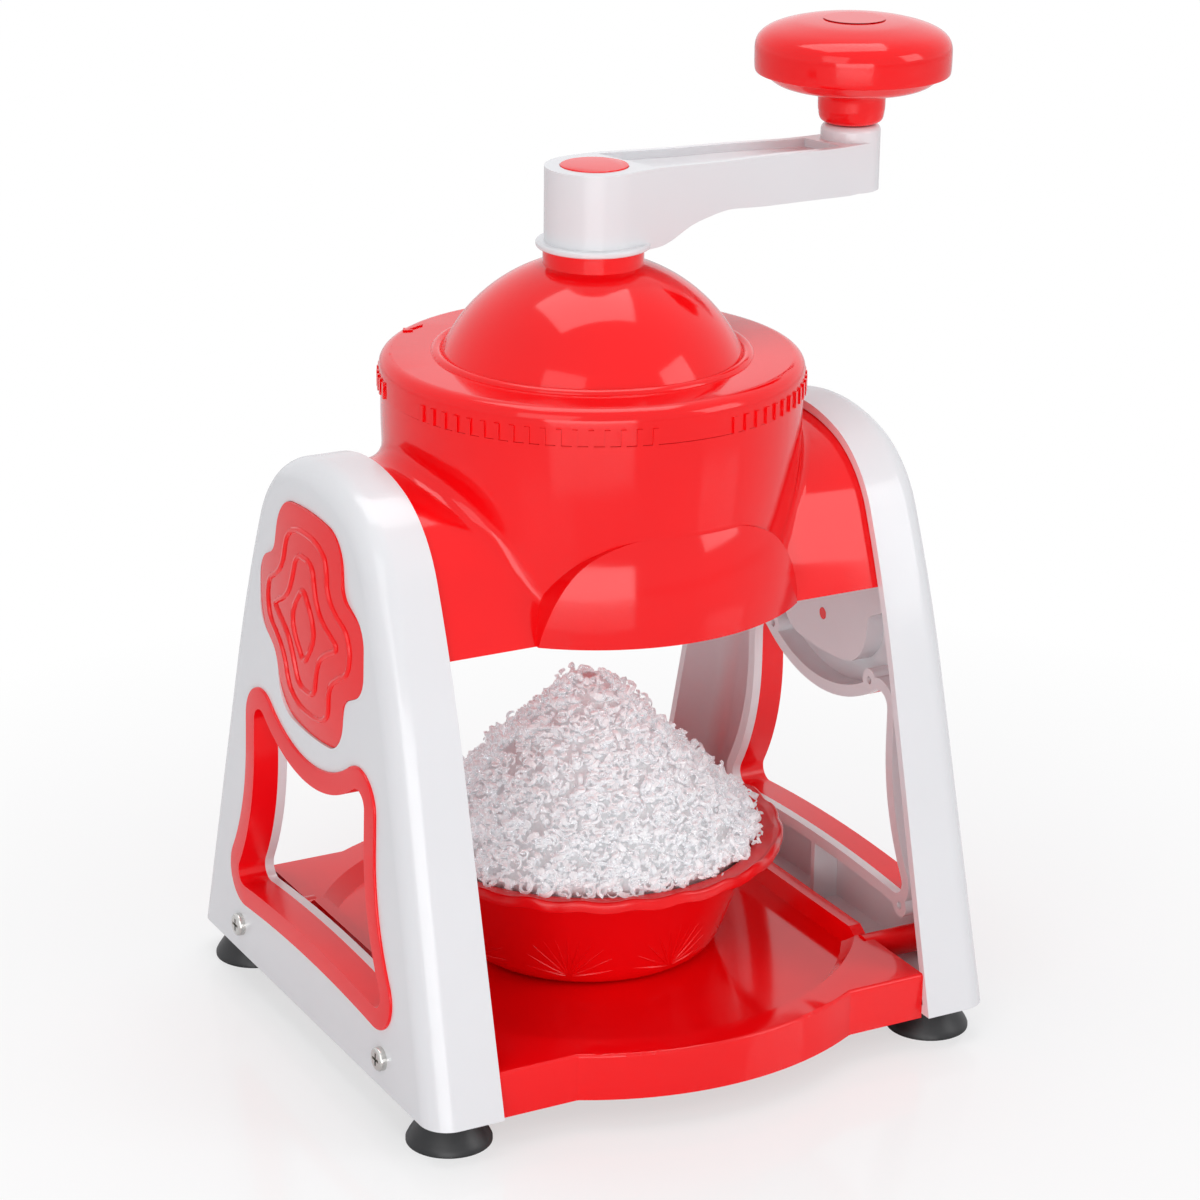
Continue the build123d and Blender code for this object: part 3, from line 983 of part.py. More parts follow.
def knob_top():
    """The knob's upper shell, with a spigot inside the lower one."""
    cover = knob_outer() & disc(2 * KNOB_RADIUS, KNOB_PARTING_Z, KNOB_TOP_Z + 1)
    spigot = KNOB_RADIUS - KNOB_WALL - PEG_FIT
    collar = ring(spigot, spigot - KNOB_SPIGOT_WALL, KNOB_WIDEST_Z + PEG_FIT, KNOB_PARTING_Z + 1)
    low, top = (spigot - KNOB_SPIGOT_WALL, KNOB_PARTING_Z), (0, KNOB_TOP_Z - KNOB_WALL)
    shoulder, crest = [(r, KNOB_BOTTOM + z - KNOB_WALL) for r, z in (KNOB_CROWN[2], KNOB_CROWN[4])]
    shoulder = (shoulder[0] - KNOB_WALL, shoulder[1])
    under = KNOB_PARTING_Z - 1
    room = turned(Spline(low, shoulder, crest, top, tangents=((0, 1), (-1, 0))),
                  Line(top, (0, under)), Line((0, under), (low[0], under)), Line((low[0], under), low))
    return cover + collar - room


def knob_bolt():
    """The shoulder bolt that the knob turns on."""
    seat = KNOB_SLEEVE_TOP + GAP
    return disc(BOLT_RADIUS, NUT_BOTTOM, seat) + disc(BOLT_HEAD_RADIUS, seat, seat + BOLT_HEAD_HEIGHT)


def knob_nut():
    """The nut in the underside of the crank's end."""
    nut = hexagon(NUT_FLATS, NUT_BOTTOM, NUT_BOTTOM + NUT_HEIGHT)
    return nut - disc(BOLT_RADIUS, NUT_BOTTOM - 1, POST_TOP)


# ---- Bowl and ice ----

def bowl():
    """The red bowl: a foot ring, rounded sides and a flared lip with a turned-down band."""
    foot = (BOWL_FOOT_RADIUS, BOWL_FOOT_Z)
    side = [foot] + [(r, BOWL_FOOT_Z + z) for r, z in BOWL_SIDE]
    lip = (BOWL_RIM_RADIUS - BOWL_RIM_WALL, BOWL_RIM_BOTTOM)
    band = Polyline(lip, (BOWL_RIM_RADIUS, lip[1]), (BOWL_RIM_RADIUS, BOWL_RIM_TOP),
                    (lip[0], BOWL_RIM_TOP), (lip[0], BOWL_LIP_TOP))
    outer = [Spline(*side), Spline(side[-1], (side[-1][0] + 1.6, BOWL_RIM_BOTTOM - 0.3), lip), band]
    floor = BOWL_FOOT_Z + BOWL_FOOT_HEIGHT + BOWL_WALL
    inside = [(BOWL_FOOT_RADIUS - 3, floor)] + [(r - BOWL_WALL, max(z, floor + 1)) for r, z in side[3:]]
    brim = (side[-1][0] + 0.6, BOWL_LIP_TOP)
    edges = outer + [Line((lip[0], BOWL_LIP_TOP), brim), Line(brim, inside[-1]), Spline(*reversed(inside)),
                     Polyline(inside[0], (0, floor), (0, BOWL_FOOT_Z), foot)]
    cup = turned(*edges)
    return cup - disc(BOWL_FOOT_RADIUS - BOWL_FOOT_WIDTH, BOWL_FOOT_Z - 1, BOWL_FOOT_Z + BOWL_FOOT_HEIGHT)


def shaved_ice():
    """The heap of shaved ice that fills the bowl and stands over it."""
    floor = BOWL_FOOT_Z + BOWL_FOOT_HEIGHT + BOWL_WALL + GAP
    wall = [(r - BOWL_WALL - 2 * GAP, BOWL_FOOT_Z + z) for r, z in BOWL_SIDE[2:]]
    edge = (ICE_EDGE_RADIUS, BOWL_LIP_TOP + 2 * GAP)
    neck = (wall[-1][0] + 0.6, BOWL_LIP_TOP + GAP)
    peak_foot = (ICE_PEAK_RADIUS, ICE_PEAK - ICE_PEAK_RADIUS * 0.4)
    return turned(Polyline((0, floor), (BOWL_FOOT_RADIUS - 4, floor), wall[0]), Spline(*wall),
                  Polyline(wall[-1], neck, edge, peak_foot, (0, ICE_PEAK), (0, floor)))


def build():
    """Every piece by name, about the crank axis."""
    frame, trim, badge = side_frame(), window_trim(), side_badge()
    pieces = {
        "side_frame_right": frame, "side_frame_left": mirror(frame, Plane.YZ),
        "window_trim_right": trim, "window_trim_left": mirror(trim, Plane.YZ),
        "side_badge_right": badge, "side_badge_left": mirror(badge, Plane.YZ),
        "drip_tray": drip_tray(), "suction_feet": suction_feet(), "tray_screws": tray_screws(),
        "hopper_body": hopper_body(), "hopper_screws": hopper_screws(),
        "blade_plate": blade_plate(), "blade_plate_screws": plate_screws(),
        "shaving_blade": shaving_blade(), "blade_screws": blade_screws(),
        "lid": lid(), "shaft_bush": shaft_bush(),
        "shaft_washer": shaft_ring(), "shaft_clip": shaft_clip(), "press_spring": press_spring(),
        "presser_washer": presser_washer(), "presser_screw": presser_screw(),
        "bowl": bowl(), "shaved_ice": shaved_ice(),
    }
    turn = Rot(0, 0, CRANK_DIRECTION)
    at_knob = turn * Pos(CRANK_REACH, 0, 0)
    pieces["crank_arm"] = turn * crank_arm()
    pieces["crank_shaft"] = turn * crank_shaft()
    pieces["ice_presser"] = turn * ice_presser()
    pieces["crank_cap"] = crank_cap()
    pieces["crank_screw"] = crank_screw()
    pieces["knob_bolt"] = at_knob * knob_bolt()
    pieces["knob_nut"] = at_knob * knob_nut()
    pieces["knob_bottom"] = at_knob * knob_bottom()
    pieces["knob_top"] = at_knob * knob_top()
    return pieces


def as_compound(piece):
    """One compound of a piece's solids."""
    parts = piece if isinstance(piece, list) else [piece]
    return Compound(children=[Solid(s.wrapped) for part in parts for s in part.solids()])


def main():
    os.makedirs("parts", exist_ok=True)
    pieces = {name: as_compound(piece) for name, piece in build().items()}
    boxes = [piece.bounding_box() for piece in pieces.values()]
    low = [min(getattr(box.min, axis) for box in boxes) for axis in "XYZ"]
    high = [max(getattr(box.max, axis) for box in boxes) for axis in "XYZ"]
    middle_x, middle_y = (low[0] + high[0]) / 2, (low[1] + high[1]) / 2
    print("crank axis at", round(-middle_x, 4), round(-middle_y, 4))
    print("size", [round(b - a, 2) for a, b in zip(low, high)], "lowest", round(low[2], 3))
    for name, piece in pieces.items():
        export_step(Pos(-middle_x, -middle_y, 0) * piece, "parts/" + name + ".step")


if __name__ == "__main__":
    main()
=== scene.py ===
# %% [markdown]
# # A hand-cranked ice shaver
# The machine is moulded in glossy red and white plastic. A crank turns a toothed disc that presses
# ice onto a blade, and the shavings fall into a bowl on the tray. The hard parts come from the
# measured model. This notebook gives them their finish, and models what needs a softer hand: the
# embossed bowl and the heap of shaved ice.

# %% Load the measured model
import json
import math
import random

import bpy
import bmesh
import numpy as np
from mathutils import Matrix, Vector


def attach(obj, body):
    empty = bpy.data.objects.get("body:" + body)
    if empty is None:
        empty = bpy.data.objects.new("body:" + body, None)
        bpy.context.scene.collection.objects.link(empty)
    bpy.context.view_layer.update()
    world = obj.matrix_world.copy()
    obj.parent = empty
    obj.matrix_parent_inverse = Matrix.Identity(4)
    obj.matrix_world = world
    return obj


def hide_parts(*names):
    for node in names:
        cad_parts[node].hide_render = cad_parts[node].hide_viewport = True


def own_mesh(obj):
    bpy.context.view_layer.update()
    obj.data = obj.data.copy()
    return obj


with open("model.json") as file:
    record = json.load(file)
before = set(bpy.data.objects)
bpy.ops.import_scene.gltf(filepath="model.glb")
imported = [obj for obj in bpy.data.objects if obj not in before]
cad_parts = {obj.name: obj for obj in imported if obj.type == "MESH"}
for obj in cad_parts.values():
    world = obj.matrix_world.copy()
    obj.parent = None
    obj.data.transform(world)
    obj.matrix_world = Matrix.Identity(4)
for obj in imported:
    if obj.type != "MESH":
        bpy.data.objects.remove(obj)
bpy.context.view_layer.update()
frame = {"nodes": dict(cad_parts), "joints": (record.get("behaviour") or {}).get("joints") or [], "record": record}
nodes = frame["nodes"]
joints = {joint["name"]: joint for joint in frame["joints"]}
crank_x, crank_y, _ = joints["crank_spin"]["pos_m"]
MM = 0.001

# %% [markdown]
# ## Camera
# The camera is set up first, because it decides which details can be seen. The machine was
# photographed from its front left, from a little above, with a long lens. The place is given about
# the crank's axis, and the slight roll turns the camera about its own view.

# %% Camera
CAMERA_PLACE = (-463.8, -857.9, 470.9)
CAMERA_TARGET = (-18.4, -40.2, 138.6)
CAMERA_ROLL = 0.724
LENS = 107.87


def about_crank(x, y, z):
    """A point in millimetres about the crank's axis, as metres in the machine's frame."""
    return Vector((crank_x + x * MM, crank_y + y * MM, z * MM))


def add_camera():
    place, target = about_crank(*CAMERA_PLACE), about_crank(*CAMERA_TARGET)
    data = bpy.data.cameras.new("camera")
    data.lens = LENS
    data.sensor_width = 36
    data.clip_start, data.clip_end = 0.05, 30
    camera = bpy.data.objects.new("camera", data)
    bpy.context.scene.collection.objects.link(camera)
    turn = (target - place).to_track_quat("-Z", "Y").to_matrix()
    roll = Matrix.Rotation(math.radians(CAMERA_ROLL), 3, "Z")
    camera.matrix_world = Matrix.Translation(place) @ (turn @ roll).to_4x4()
    bpy.context.scene.camera = camera


add_camera()

# %% [markdown]
# ## Finishes
# Moulded plastic is never one flat colour. The pigment flows a little unevenly, the mould's polish
# varies, and the skin has a faint ripple. Each finish here is a Principled shader whose colour,
# roughness and bump come from noise in the piece's own coordinates, so nothing slides when it moves.


# %% Node helpers
def new_material(name):
    """An empty node material with its output and its Principled shader."""
    material = bpy.data.materials.new(name)
    material.use_nodes = True
    tree = material.node_tree
    shader = tree.nodes["Principled BSDF"]
    return material, tree, shader


def noise(tree, scale, detail=2.0, stretch=(1, 1, 1)):
    """Noise in object coordinates, in metres, with an optional stretch."""
    place = tree.nodes.new("ShaderNodeTexCoord")
    mapping = tree.nodes.new("ShaderNodeMapping")
    mapping.inputs["Scale"].default_value = stretch
    texture = tree.nodes.new("ShaderNodeTexNoise")
    texture.inputs["Scale"].default_value = scale
    texture.inputs["Detail"].default_value = detail
    tree.links.new(place.outputs["Object"], mapping.inputs["Vector"])
    tree.links.new(mapping.outputs["Vector"], texture.inputs["Vector"])
    return texture.outputs["Fac"]


def ramp(tree, source, low, high, start=0.3, end=0.7):
    """Maps noise to a range of colours or of grey values."""
    node = tree.nodes.new("ShaderNodeValToRGB")
    node.color_ramp.elements[0].position = start
    node.color_ramp.elements[1].position = end
    node.color_ramp.elements[0].color = low if len(low) == 4 else (*low, 1)
    node.color_ramp.elements[1].color = high if len(high) == 4 else (*high, 1)
    tree.links.new(source, node.inputs["Fac"])
    return node.outputs["Color"]


def value_range(tree, source, low, high):
    """Maps noise to a range of one number."""
    node = tree.nodes.new("ShaderNodeMapRange")
    node.inputs["From Min"].default_value = 0.3
    node.inputs["From Max"].default_value = 0.7
    node.inputs["To Min"].default_value = low
    node.inputs["To Max"].default_value = high
    tree.links.new(source, node.inputs["Value"])
    return node.outputs["Result"]


def bump(tree, shader, height, strength, distance):
    """Adds a bump of a few hundredths of a millimetre to a shader."""
    node = tree.nodes.new("ShaderNodeBump")
    node.inputs["Strength"].default_value = strength
    node.inputs["Distance"].default_value = distance
    tree.links.new(height, node.inputs["Height"])
    tree.links.new(node.outputs["Normal"], shader.inputs["Normal"])


def plastic(name, colour, roughness, variation=0.04, ripple=0.12, coat=0.0, subsurface=0.0,
            gloss=0.5):
    """Moulded plastic: clouded pigment, uneven polish and a faint ripple in its skin."""
    material, tree, shader = new_material(name)
    low = tuple(c * (1 - variation) for c in colour)
    high = tuple(min(c * (1 + variation), 1) for c in colour)
    tree.links.new(ramp(tree, noise(tree, 22), low, high), shader.inputs["Base Color"])
    polish = value_range(tree, noise(tree, 90, 4), roughness * 0.85, roughness * 1.15)
    tree.links.new(polish, shader.inputs["Roughness"])
    bump(tree, shader, noise(tree, 260, 3), ripple, 0.00005)
    shader.inputs["Specular IOR Level"].default_value = gloss
    shader.inputs["Coat Weight"].default_value = coat
    shader.inputs["Coat Roughness"].default_value = 0.04
    if subsurface:
        shader.inputs["Subsurface Weight"].default_value = subsurface
        shader.inputs["Subsurface Radius"].default_value = (0.004, 0.003, 0.003)
        shader.inputs["Subsurface Scale"].default_value = 0.6
    return material


def metal(name, colour, roughness, stretch=(1, 1, 1), grain=0.15):
    """Worked metal: fine lines from the tool, and a polish that varies along them."""
    material, tree, shader = new_material(name)
    lines = noise(tree, 900, 3, stretch)
    shades = [tuple(c * f for c in colour) for f in (0.88, 1.0)]
    tree.links.new(ramp(tree, lines, *shades), shader.inputs["Base Color"])
    polish = value_range(tree, lines, roughness * 0.7, roughness * 1.3)
    tree.links.new(polish, shader.inputs["Roughness"])
    shader.inputs["Metallic"].default_value = 1.0
    bump(tree, shader, lines, grain, 0.00003)
    return material


# %% Red and white plastic
RED = (0.93, 0.0022, 0.0045)
finishes = {
    "red": plastic("red_plastic", RED, 0.10, coat=0.06, gloss=0.34),
    "trim": plastic("red_trim_plastic", (0.94, 0.004, 0.008), 0.20, gloss=0.36),
    "bowl": plastic("red_bowl_plastic", (0.88, 0.0025, 0.005), 0.22, gloss=0.34),
    "white": plastic("white_plastic", (0.80, 0.80, 0.82), 0.20, variation=0.010, coat=0.15,
                     subsurface=0.05),
    "nylon": plastic("natural_nylon", (0.72, 0.69, 0.60), 0.45, variation=0.03),
}
print("plastics:", ", ".join(finishes))

# %% [markdown]
# ## Metal and rubber
# The screws are plated and round, so their grain runs every way. The shaft and the blade were turned
# and ground, so theirs is drawn out along one direction. Rubber is the dull one: a dark, rough skin
# with a fine bump, and just enough sheen to catch an edge.

# %% Metals and rubber
finishes["plated"] = metal("plated_screw_steel", (0.66, 0.65, 0.62), 0.22)
finishes["turned"] = metal("turned_shaft_steel", (0.56, 0.56, 0.57), 0.30, stretch=(1, 1, 8))
finishes["ground"] = metal("ground_blade_steel", (0.62, 0.62, 0.64), 0.25, stretch=(1, 10, 1))


def rubber():
    material, tree, shader = new_material("black_foot_rubber")
    tree.links.new(ramp(tree, noise(tree, 60, 3), (0.012, 0.012, 0.013), (0.022, 0.022, 0.023)),
                   shader.inputs["Base Color"])
    tree.links.new(value_range(tree, noise(tree, 150, 4), 0.38, 0.5), shader.inputs["Roughness"])
    bump(tree, shader, noise(tree, 1500, 3), 0.2, 0.00004)
    return material


finishes["rubber"] = rubber()

# %% [markdown]
# ## Dressing the hard parts
# The measured parts keep their shape. Each one gets its material and is copied, the copy's loose triangles are
# welded, and its normals are smoothed wherever neighbouring faces meet at a small angle, so that a
# curved wall shines as one surface. The copy then stands for the part, the hidden parts inside as
# well as the visible ones.

# %% Which finish each part has
FINISH_OF = {
    "red": ["hopper_body", "lid", "drip_tray", "crank_cap", "knob_top", "knob_bottom",
            "side_badge_left", "side_badge_right", "blade_plate", "ice_presser"],
    "trim": ["window_trim_left", "window_trim_right"],
    "white": ["side_frame_left", "side_frame_right", "crank_arm"],
    "nylon": ["shaft_bush"],
    "rubber": ["suction_feet"],
    "plated": ["tray_screws", "hopper_screws", "blade_plate_screws", "blade_screws", "crank_screw",
               "presser_screw", "presser_washer", "shaft_washer", "shaft_clip", "knob_bolt", "knob_nut"],
    "turned": ["crank_shaft", "press_spring"],
    "ground": ["shaving_blade"],
}
for finish, names in FINISH_OF.items():
    for name in names:
        mesh = nodes[name].data
        mesh.materials.clear()
        mesh.materials.append(finishes[finish])


# %% Helpers for selecting and finishing
def deselect():
    """Nothing stays selected, so that an operator acts on one piece alone."""
    if bpy.context.object and bpy.context.object.mode != "OBJECT":
        bpy.ops.object.mode_set(mode="OBJECT")
    bpy.ops.object.select_all(action="DESELECT")


def activate(piece):
    """Selects one piece alone and makes it the active one."""
    deselect()
    piece.select_set(True)
    bpy.context.view_layer.objects.active = piece


def finish_piece(piece, name, material, body, replaced=()):
    """Names a finished piece, bakes its place into its mesh, and sets what it rides on."""
    activate(piece)
    bpy.ops.object.transform_apply(location=True, rotation=True, scale=True)
    piece.name = name
    piece.data.name = name
    piece.data.materials.clear()
    piece.data.materials.append(material)
    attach(piece, body)
    if replaced:
        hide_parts(*replaced)


# %% [markdown]
# ## The bowl
# The bowl is a turned shape with a wavy rim, and low fans are embossed round its side. A lathe would
# spin a profile. Here a circle is extruded ring by ring, which does the same and leaves clean loops
# that can be pushed about: the rim's loops are lifted and dropped to make its waves.

# %% Bowl profile
BOWL_SEGMENTS = 192
# Radius and height in millimetres: from the middle of the base up the outside, over the rim, and down.
BOWL_PROFILE = [
    (8, 19.7), (20, 19.7), (31.6, 19.7), (32.7, 19.5), (33.0, 18.6), (33.4, 18.3), (34.6, 18.3),
    (35.9, 18.6), (37.2, 19.3), (38.6, 20.6), (39.5, 22.6), (40.5, 25.2), (42.2, 30.0), (44.1, 35.1),
    (46.0, 40.1), (47.7, 44.8), (48.6, 47.0), (49.4, 48.6), (50.6, 49.7), (52.4, 50.2), (54.6, 50.2),
    (56.0, 49.9), (57.0, 49.9), (57.7, 50.3), (57.8, 51.0), (57.8, 52.5), (57.5, 53.2), (56.9, 53.5),
    (56.2, 53.3), (55.7, 52.6), (54.6, 52.1), (52.4, 52.0), (50.4, 51.8), (48.9, 50.8), (47.6, 48.6),
    (45.8, 44.4), (44.1, 39.6), (42.2, 34.6), (40.3, 29.4), (38.4, 25.2), (35.6, 22.2), (31.0, 21.4),
    (20, 21.3), (8, 21.3),
]
RIM_WAVES, RIM_WAVE_HEIGHT, RIM_WAVE_DEPTH = 24, 0.45, 0.35
RIM_START, RIM_SPREAD = 50.5, 6.5
RIM_SMOOTH = 50


def turn_profile(profile, segments):
    """Turns a profile: a circle is extruded along it ring by ring, and both ends are filled."""
    deselect()
    radius, height = profile[0]
    bpy.ops.mesh.primitive_circle_add(vertices=segments, radius=radius * MM,
                                      location=about_crank(0, 0, height))
    piece = bpy.context.object
    bpy.ops.object.mode_set(mode="EDIT")
    for (last, low), (radius, height) in zip(profile, profile[1:]):
        bpy.ops.mesh.extrude_edges_move(TRANSFORM_OT_translate={"value": (0, 0, (height - low) * MM)})
        share = radius / last
        bpy.ops.transform.resize(value=(share, share, 1), center_override=about_crank(0, 0, height))
    bpy.ops.mesh.edge_face_add()
    bpy.ops.object.mode_set(mode="OBJECT")
    bpy.ops.object.transform_apply(location=True, rotation=True, scale=True)
    mesh = bmesh.new()
    mesh.from_mesh(piece.data)
    start = [e for e in mesh.edges if e.is_boundary]
    bmesh.ops.holes_fill(mesh, edges=start, sides=segments)
    bmesh.ops.recalc_face_normals(mesh, faces=mesh.faces)
    mesh.to_mesh(piece.data)
    mesh.free()
    return piece


def wave_rim(mesh):
    """Lifts and spreads the rim's loops in gentle waves, most at the outermost edge."""
    for vertex in mesh.vertices:
        x, y = vertex.co.x - crank_x, vertex.co.y - crank_y
        radius = math.hypot(x, y) / MM
        share = min(max((radius - RIM_START) / RIM_SPREAD, 0), 1) ** 1.5
        wave = math.cos(RIM_WAVES * math.atan2(y, x)) * share
        vertex.co.z += wave * RIM_WAVE_HEIGHT * MM
        push = wave * RIM_WAVE_DEPTH * share * MM / max(radius * MM, 1e-6)
        vertex.co.x -= x * max(-push, 0)
        vertex.co.y -= y * max(-push, 0)


bowl = turn_profile(BOWL_PROFILE, BOWL_SEGMENTS)
wave_rim(bowl.data)
activate(bowl)
bpy.ops.object.shade_smooth_by_angle(angle=math.radians(RIM_SMOOTH))
finish_piece(bowl, "embossed_bowl", finishes["bowl"], "bowl", ["bowl"])
print("bowl:", len(bowl.data.polygons), "faces")

# %% [markdown]
# ## Fans on the bowl
# Each fan is a spray of low rays that rise from one point near the base. One ray is a narrow grid
# whose vertices are laid onto the bowl's side: along its length it follows the profile, and across
# its width it bulges out by a few tenths of a millimetre. The same ray is laid again for every angle.

# %% Fans
FAN_COUNT, FAN_FOOT, FAN_TURN = 8, 3.2, 0.22
FAN_RAYS = [(0, 15.5), (14, 15.0), (-14, 15.0), (28, 15.5), (-28, 15.5), (43, 15.0), (-43, 15.0),
            (60, 14.0), (-60, 14.0), (79, 12.5), (-79, 12.5)]
RAY_WIDTH, RAY_HEIGHT, RAY_STEPS = 0.95, 0.45, 14
RAY_START, RAY_SINK = 1.0, 0.05
side_profile = BOWL_PROFILE[8:17]


def on_side(along):
    """Radius, height and outward slope of the bowl's side at a distance along it from its foot."""
    for (r0, z0), (r1, z1) in zip(side_profile, side_profile[1:]):
        length = math.hypot(r1 - r0, z1 - z0)
        if along <= length:
            share = along / length
            radius, height = r0 + (r1 - r0) * share, z0 + (z1 - z0) * share
            return radius, height, (z1 - z0) / length, -(r1 - r0) / length
        along -= length
    return r1, z1, (z1 - z0) / length, -(r1 - r0) / length


def lay_ray(fan_angle, lean, length):
    """One ray of a fan: a grid laid on the bowl's side."""
    deselect()
    bpy.ops.mesh.primitive_grid_add(x_subdivisions=RAY_STEPS, y_subdivisions=4, size=2)
    ray = bpy.context.object
    direction = math.radians(lean)
    for vertex in ray.data.vertices:
        share, across = (vertex.co.x + 1) / 2, vertex.co.y
        taper = math.sin(math.pi * min(0.12 + share * 0.88, 1)) ** 0.5 * (1 - 0.35 * share)
        out = share * length + RAY_START
        aside = out * math.sin(direction) + across * RAY_WIDTH / 2 * taper * math.cos(direction)
        up = out * math.cos(direction) - across * RAY_WIDTH / 2 * taper * math.sin(direction)
        radius, height, out_r, out_z = on_side(FAN_FOOT + up)
        rise = RAY_HEIGHT * taper * (1 - across ** 2) - RAY_SINK
        radius, height = radius + rise * out_r, height + rise * out_z
        angle = fan_angle + aside / radius
        vertex.co = about_crank(radius * math.cos(angle), radius * math.sin(angle), height)
    return ray


def add_fans():
    """All the rays of all the fans, joined into one piece."""
    rays = []
    for fan in range(FAN_COUNT):
        angle = 2 * math.pi * (fan + FAN_TURN) / FAN_COUNT
        rays += [lay_ray(angle, lean, length) for lean, length in FAN_RAYS]
    deselect()
    for ray in rays:
        ray.select_set(True)
    bpy.context.view_layer.objects.active = rays[0]
    bpy.ops.object.join()
    fans = bpy.context.object
    bpy.ops.object.mode_set(mode="EDIT")
    bpy.ops.mesh.select_all(action="SELECT")
    bpy.ops.mesh.normals_make_consistent(inside=False)
    bpy.ops.object.mode_set(mode="OBJECT")
    bpy.ops.object.shade_smooth()
    finish_piece(fans, "bowl_fans", finishes["bowl"], "bowl")
    return fans


fans = add_fans()
print("fans:", len(fans.data.polygons), "faces")

# %% [markdown]
# ## Ice
# Shaved ice is a loose heap of thin curls and grains. Light passes through each one and scatters in
# the gaps, so the heap looks white in its middle and clear at its edge, and it takes a blush of red
# from the bowl. A solid core gives the white, and thousands of small curls on it give the sparkle. The
# curls glow very faintly, in place of the many more times that light scatters in real ice.

# %% Ice finishes
def ice_core():
    """Packed ice: white, cloudy, and a little translucent."""
    material, tree, shader = new_material("packed_ice")
    tree.links.new(ramp(tree, noise(tree, 260, 5), (0.93, 0.93, 0.96), (0.99, 0.99, 1.0)),
                   shader.inputs["Base Color"])
    shader.inputs["Roughness"].default_value = 0.35
    shader.inputs["IOR"].default_value = 1.31
    shader.inputs["Subsurface Weight"].default_value = 0.7
    shader.inputs["Subsurface Radius"].default_value = (0.012, 0.011, 0.011)
    shader.inputs["Subsurface Scale"].default_value = 0.8
    bump(tree, shader, noise(tree, 900, 4), 0.7, 0.0006)
    return material


def ice_curl():
    """Ice shavings: milky in places, clear in others, with a wet gloss."""
    material, tree, shader = new_material("clear_ice")
    tree.links.new(ramp(tree, noise(tree, 500, 3), (0.95, 0.96, 0.98), (1.0, 1.0, 1.0)),
                   shader.inputs["Base Color"])
    tree.links.new(value_range(tree, noise(tree, 700, 3), 0.03, 0.16), shader.inputs["Roughness"])
    shader.inputs["IOR"].default_value = 1.31
    clearness = value_range(tree, noise(tree, 420, 2), 0.0, 0.45)
    tree.links.new(clearness, shader.inputs["Transmission Weight"])
    shader.inputs["Subsurface Weight"].default_value = 0.3
    shader.inputs["Subsurface Radius"].default_value = (0.004, 0.004, 0.004)
    shader.inputs["Subsurface Scale"].default_value = 0.6
    # Painted glow: the curls give off a faint light of their own that brightens the heap, in place of light
    # scattered many times inside real ice.
    shader.inputs["Emission Color"].default_value = (0.97, 0.96, 1.0, 1)
    shader.inputs["Emission Strength"].default_value = 0.10
    return material


finishes["ice_core"] = ice_core()
finishes["ice_curl"] = ice_curl()

# %% [markdown]
# The core is turned like the bowl, then a displace modifier with a cloud pattern makes its slope
# lumpy. It ends where the heap meets the rim, and its underside lies inside the bowl.

# %% Ice core
ICE_PROFILE = [(6, 22.2), (22, 22.2), (31, 22.6), (35.2, 24.4), (38.2, 28), (40.4, 33), (42.4, 38.5),
               (44.2, 43.5), (46, 48), (48, 51), (49.4, 52.6), (49.0, 54.6), (46, 57.4), (42, 61.2),
               (37, 66.2), (32, 71.2), (27, 76.2), (22, 81.2), (17.5, 85.8), (13.5, 89.8), (10, 93.3),
               (7, 96.3), (4.4, 98.6), (2.2, 99.8)]
SLOPE_START = 10
LUMP_SIZE, LUMP_HEIGHT = 0.006, 0.0018


def ice_heap():
    """The lumpy white core of the heap."""
    heap = turn_profile(ICE_PROFILE, 96)
    activate(heap)
    clouds = bpy.data.textures.new("heap_lumps", "CLOUDS")
    clouds.noise_scale = LUMP_SIZE
    lumps = heap.modifiers.new("lumps", "DISPLACE")
    lumps.texture = clouds
    lumps.texture_coords = "LOCAL"
    lumps.strength = LUMP_HEIGHT
    lumps.mid_level = 0.6
    bpy.ops.object.modifier_apply(modifier="lumps")
    bpy.ops.object.shade_smooth()
    finish_piece(heap, "ice_core", finishes["ice_core"], "bowl", ["shaved_ice"])
    return heap


heap = ice_heap()

# %% [markdown]
# Three small shapes stand for the shavings: a curl, cut from a ring with a bisect; a flake, a bent
# grid; and a grain, a squashed ball. Each has a few dozen faces. They are strewn over the slope by
# a seeded draw, so the heap is the same each time.

# %% Shapes of the shavings
def as_arrays(piece):
    """A piece's vertices and faces, and the piece is then deleted."""
    points = np.array([v.co for v in piece.data.vertices])
    faces = [tuple(p.vertices) for p in piece.data.polygons]
    bpy.data.objects.remove(piece)
    return points, faces


def curl_shape():
    """A short open ring, twisted a little."""
    deselect()
    bpy.ops.mesh.primitive_torus_add(major_segments=9, minor_segments=4, major_radius=1.0,
                                     minor_radius=0.3)
    bpy.ops.object.mode_set(mode="EDIT")
    bpy.ops.mesh.select_all(action="SELECT")
    bpy.ops.mesh.bisect(plane_co=(-0.35, 0, 0), plane_no=(1, 0.25, 0), clear_inner=True, use_fill=True)
    bpy.ops.object.mode_set(mode="OBJECT")
    curl = bpy.context.object
    for vertex in curl.data.vertices:
        vertex.co.z = vertex.co.z * 1.6 + 0.25 * math.atan2(vertex.co.y, vertex.co.x)
    return as_arrays(curl)


def flake_shape():
    """A bent sliver with a thin wall."""
    deselect()
    bpy.ops.mesh.primitive_grid_add(x_subdivisions=4, y_subdivisions=2, size=2)
    flake = bpy.context.object
    for vertex in flake.data.vertices:
        x, y = vertex.co.x, vertex.co.y
        width = 0.5 * y * (1 - 0.35 * x * x) + 0.1 * x
        vertex.co = (1.2 * math.sin(1.3 * x), width, 1.2 * math.cos(1.3 * x))
    activate(flake)
    wall = flake.modifiers.new("wall", "SOLIDIFY")
    wall.thickness = 0.16
    bpy.ops.object.modifier_apply(modifier="wall")
    return as_arrays(flake)


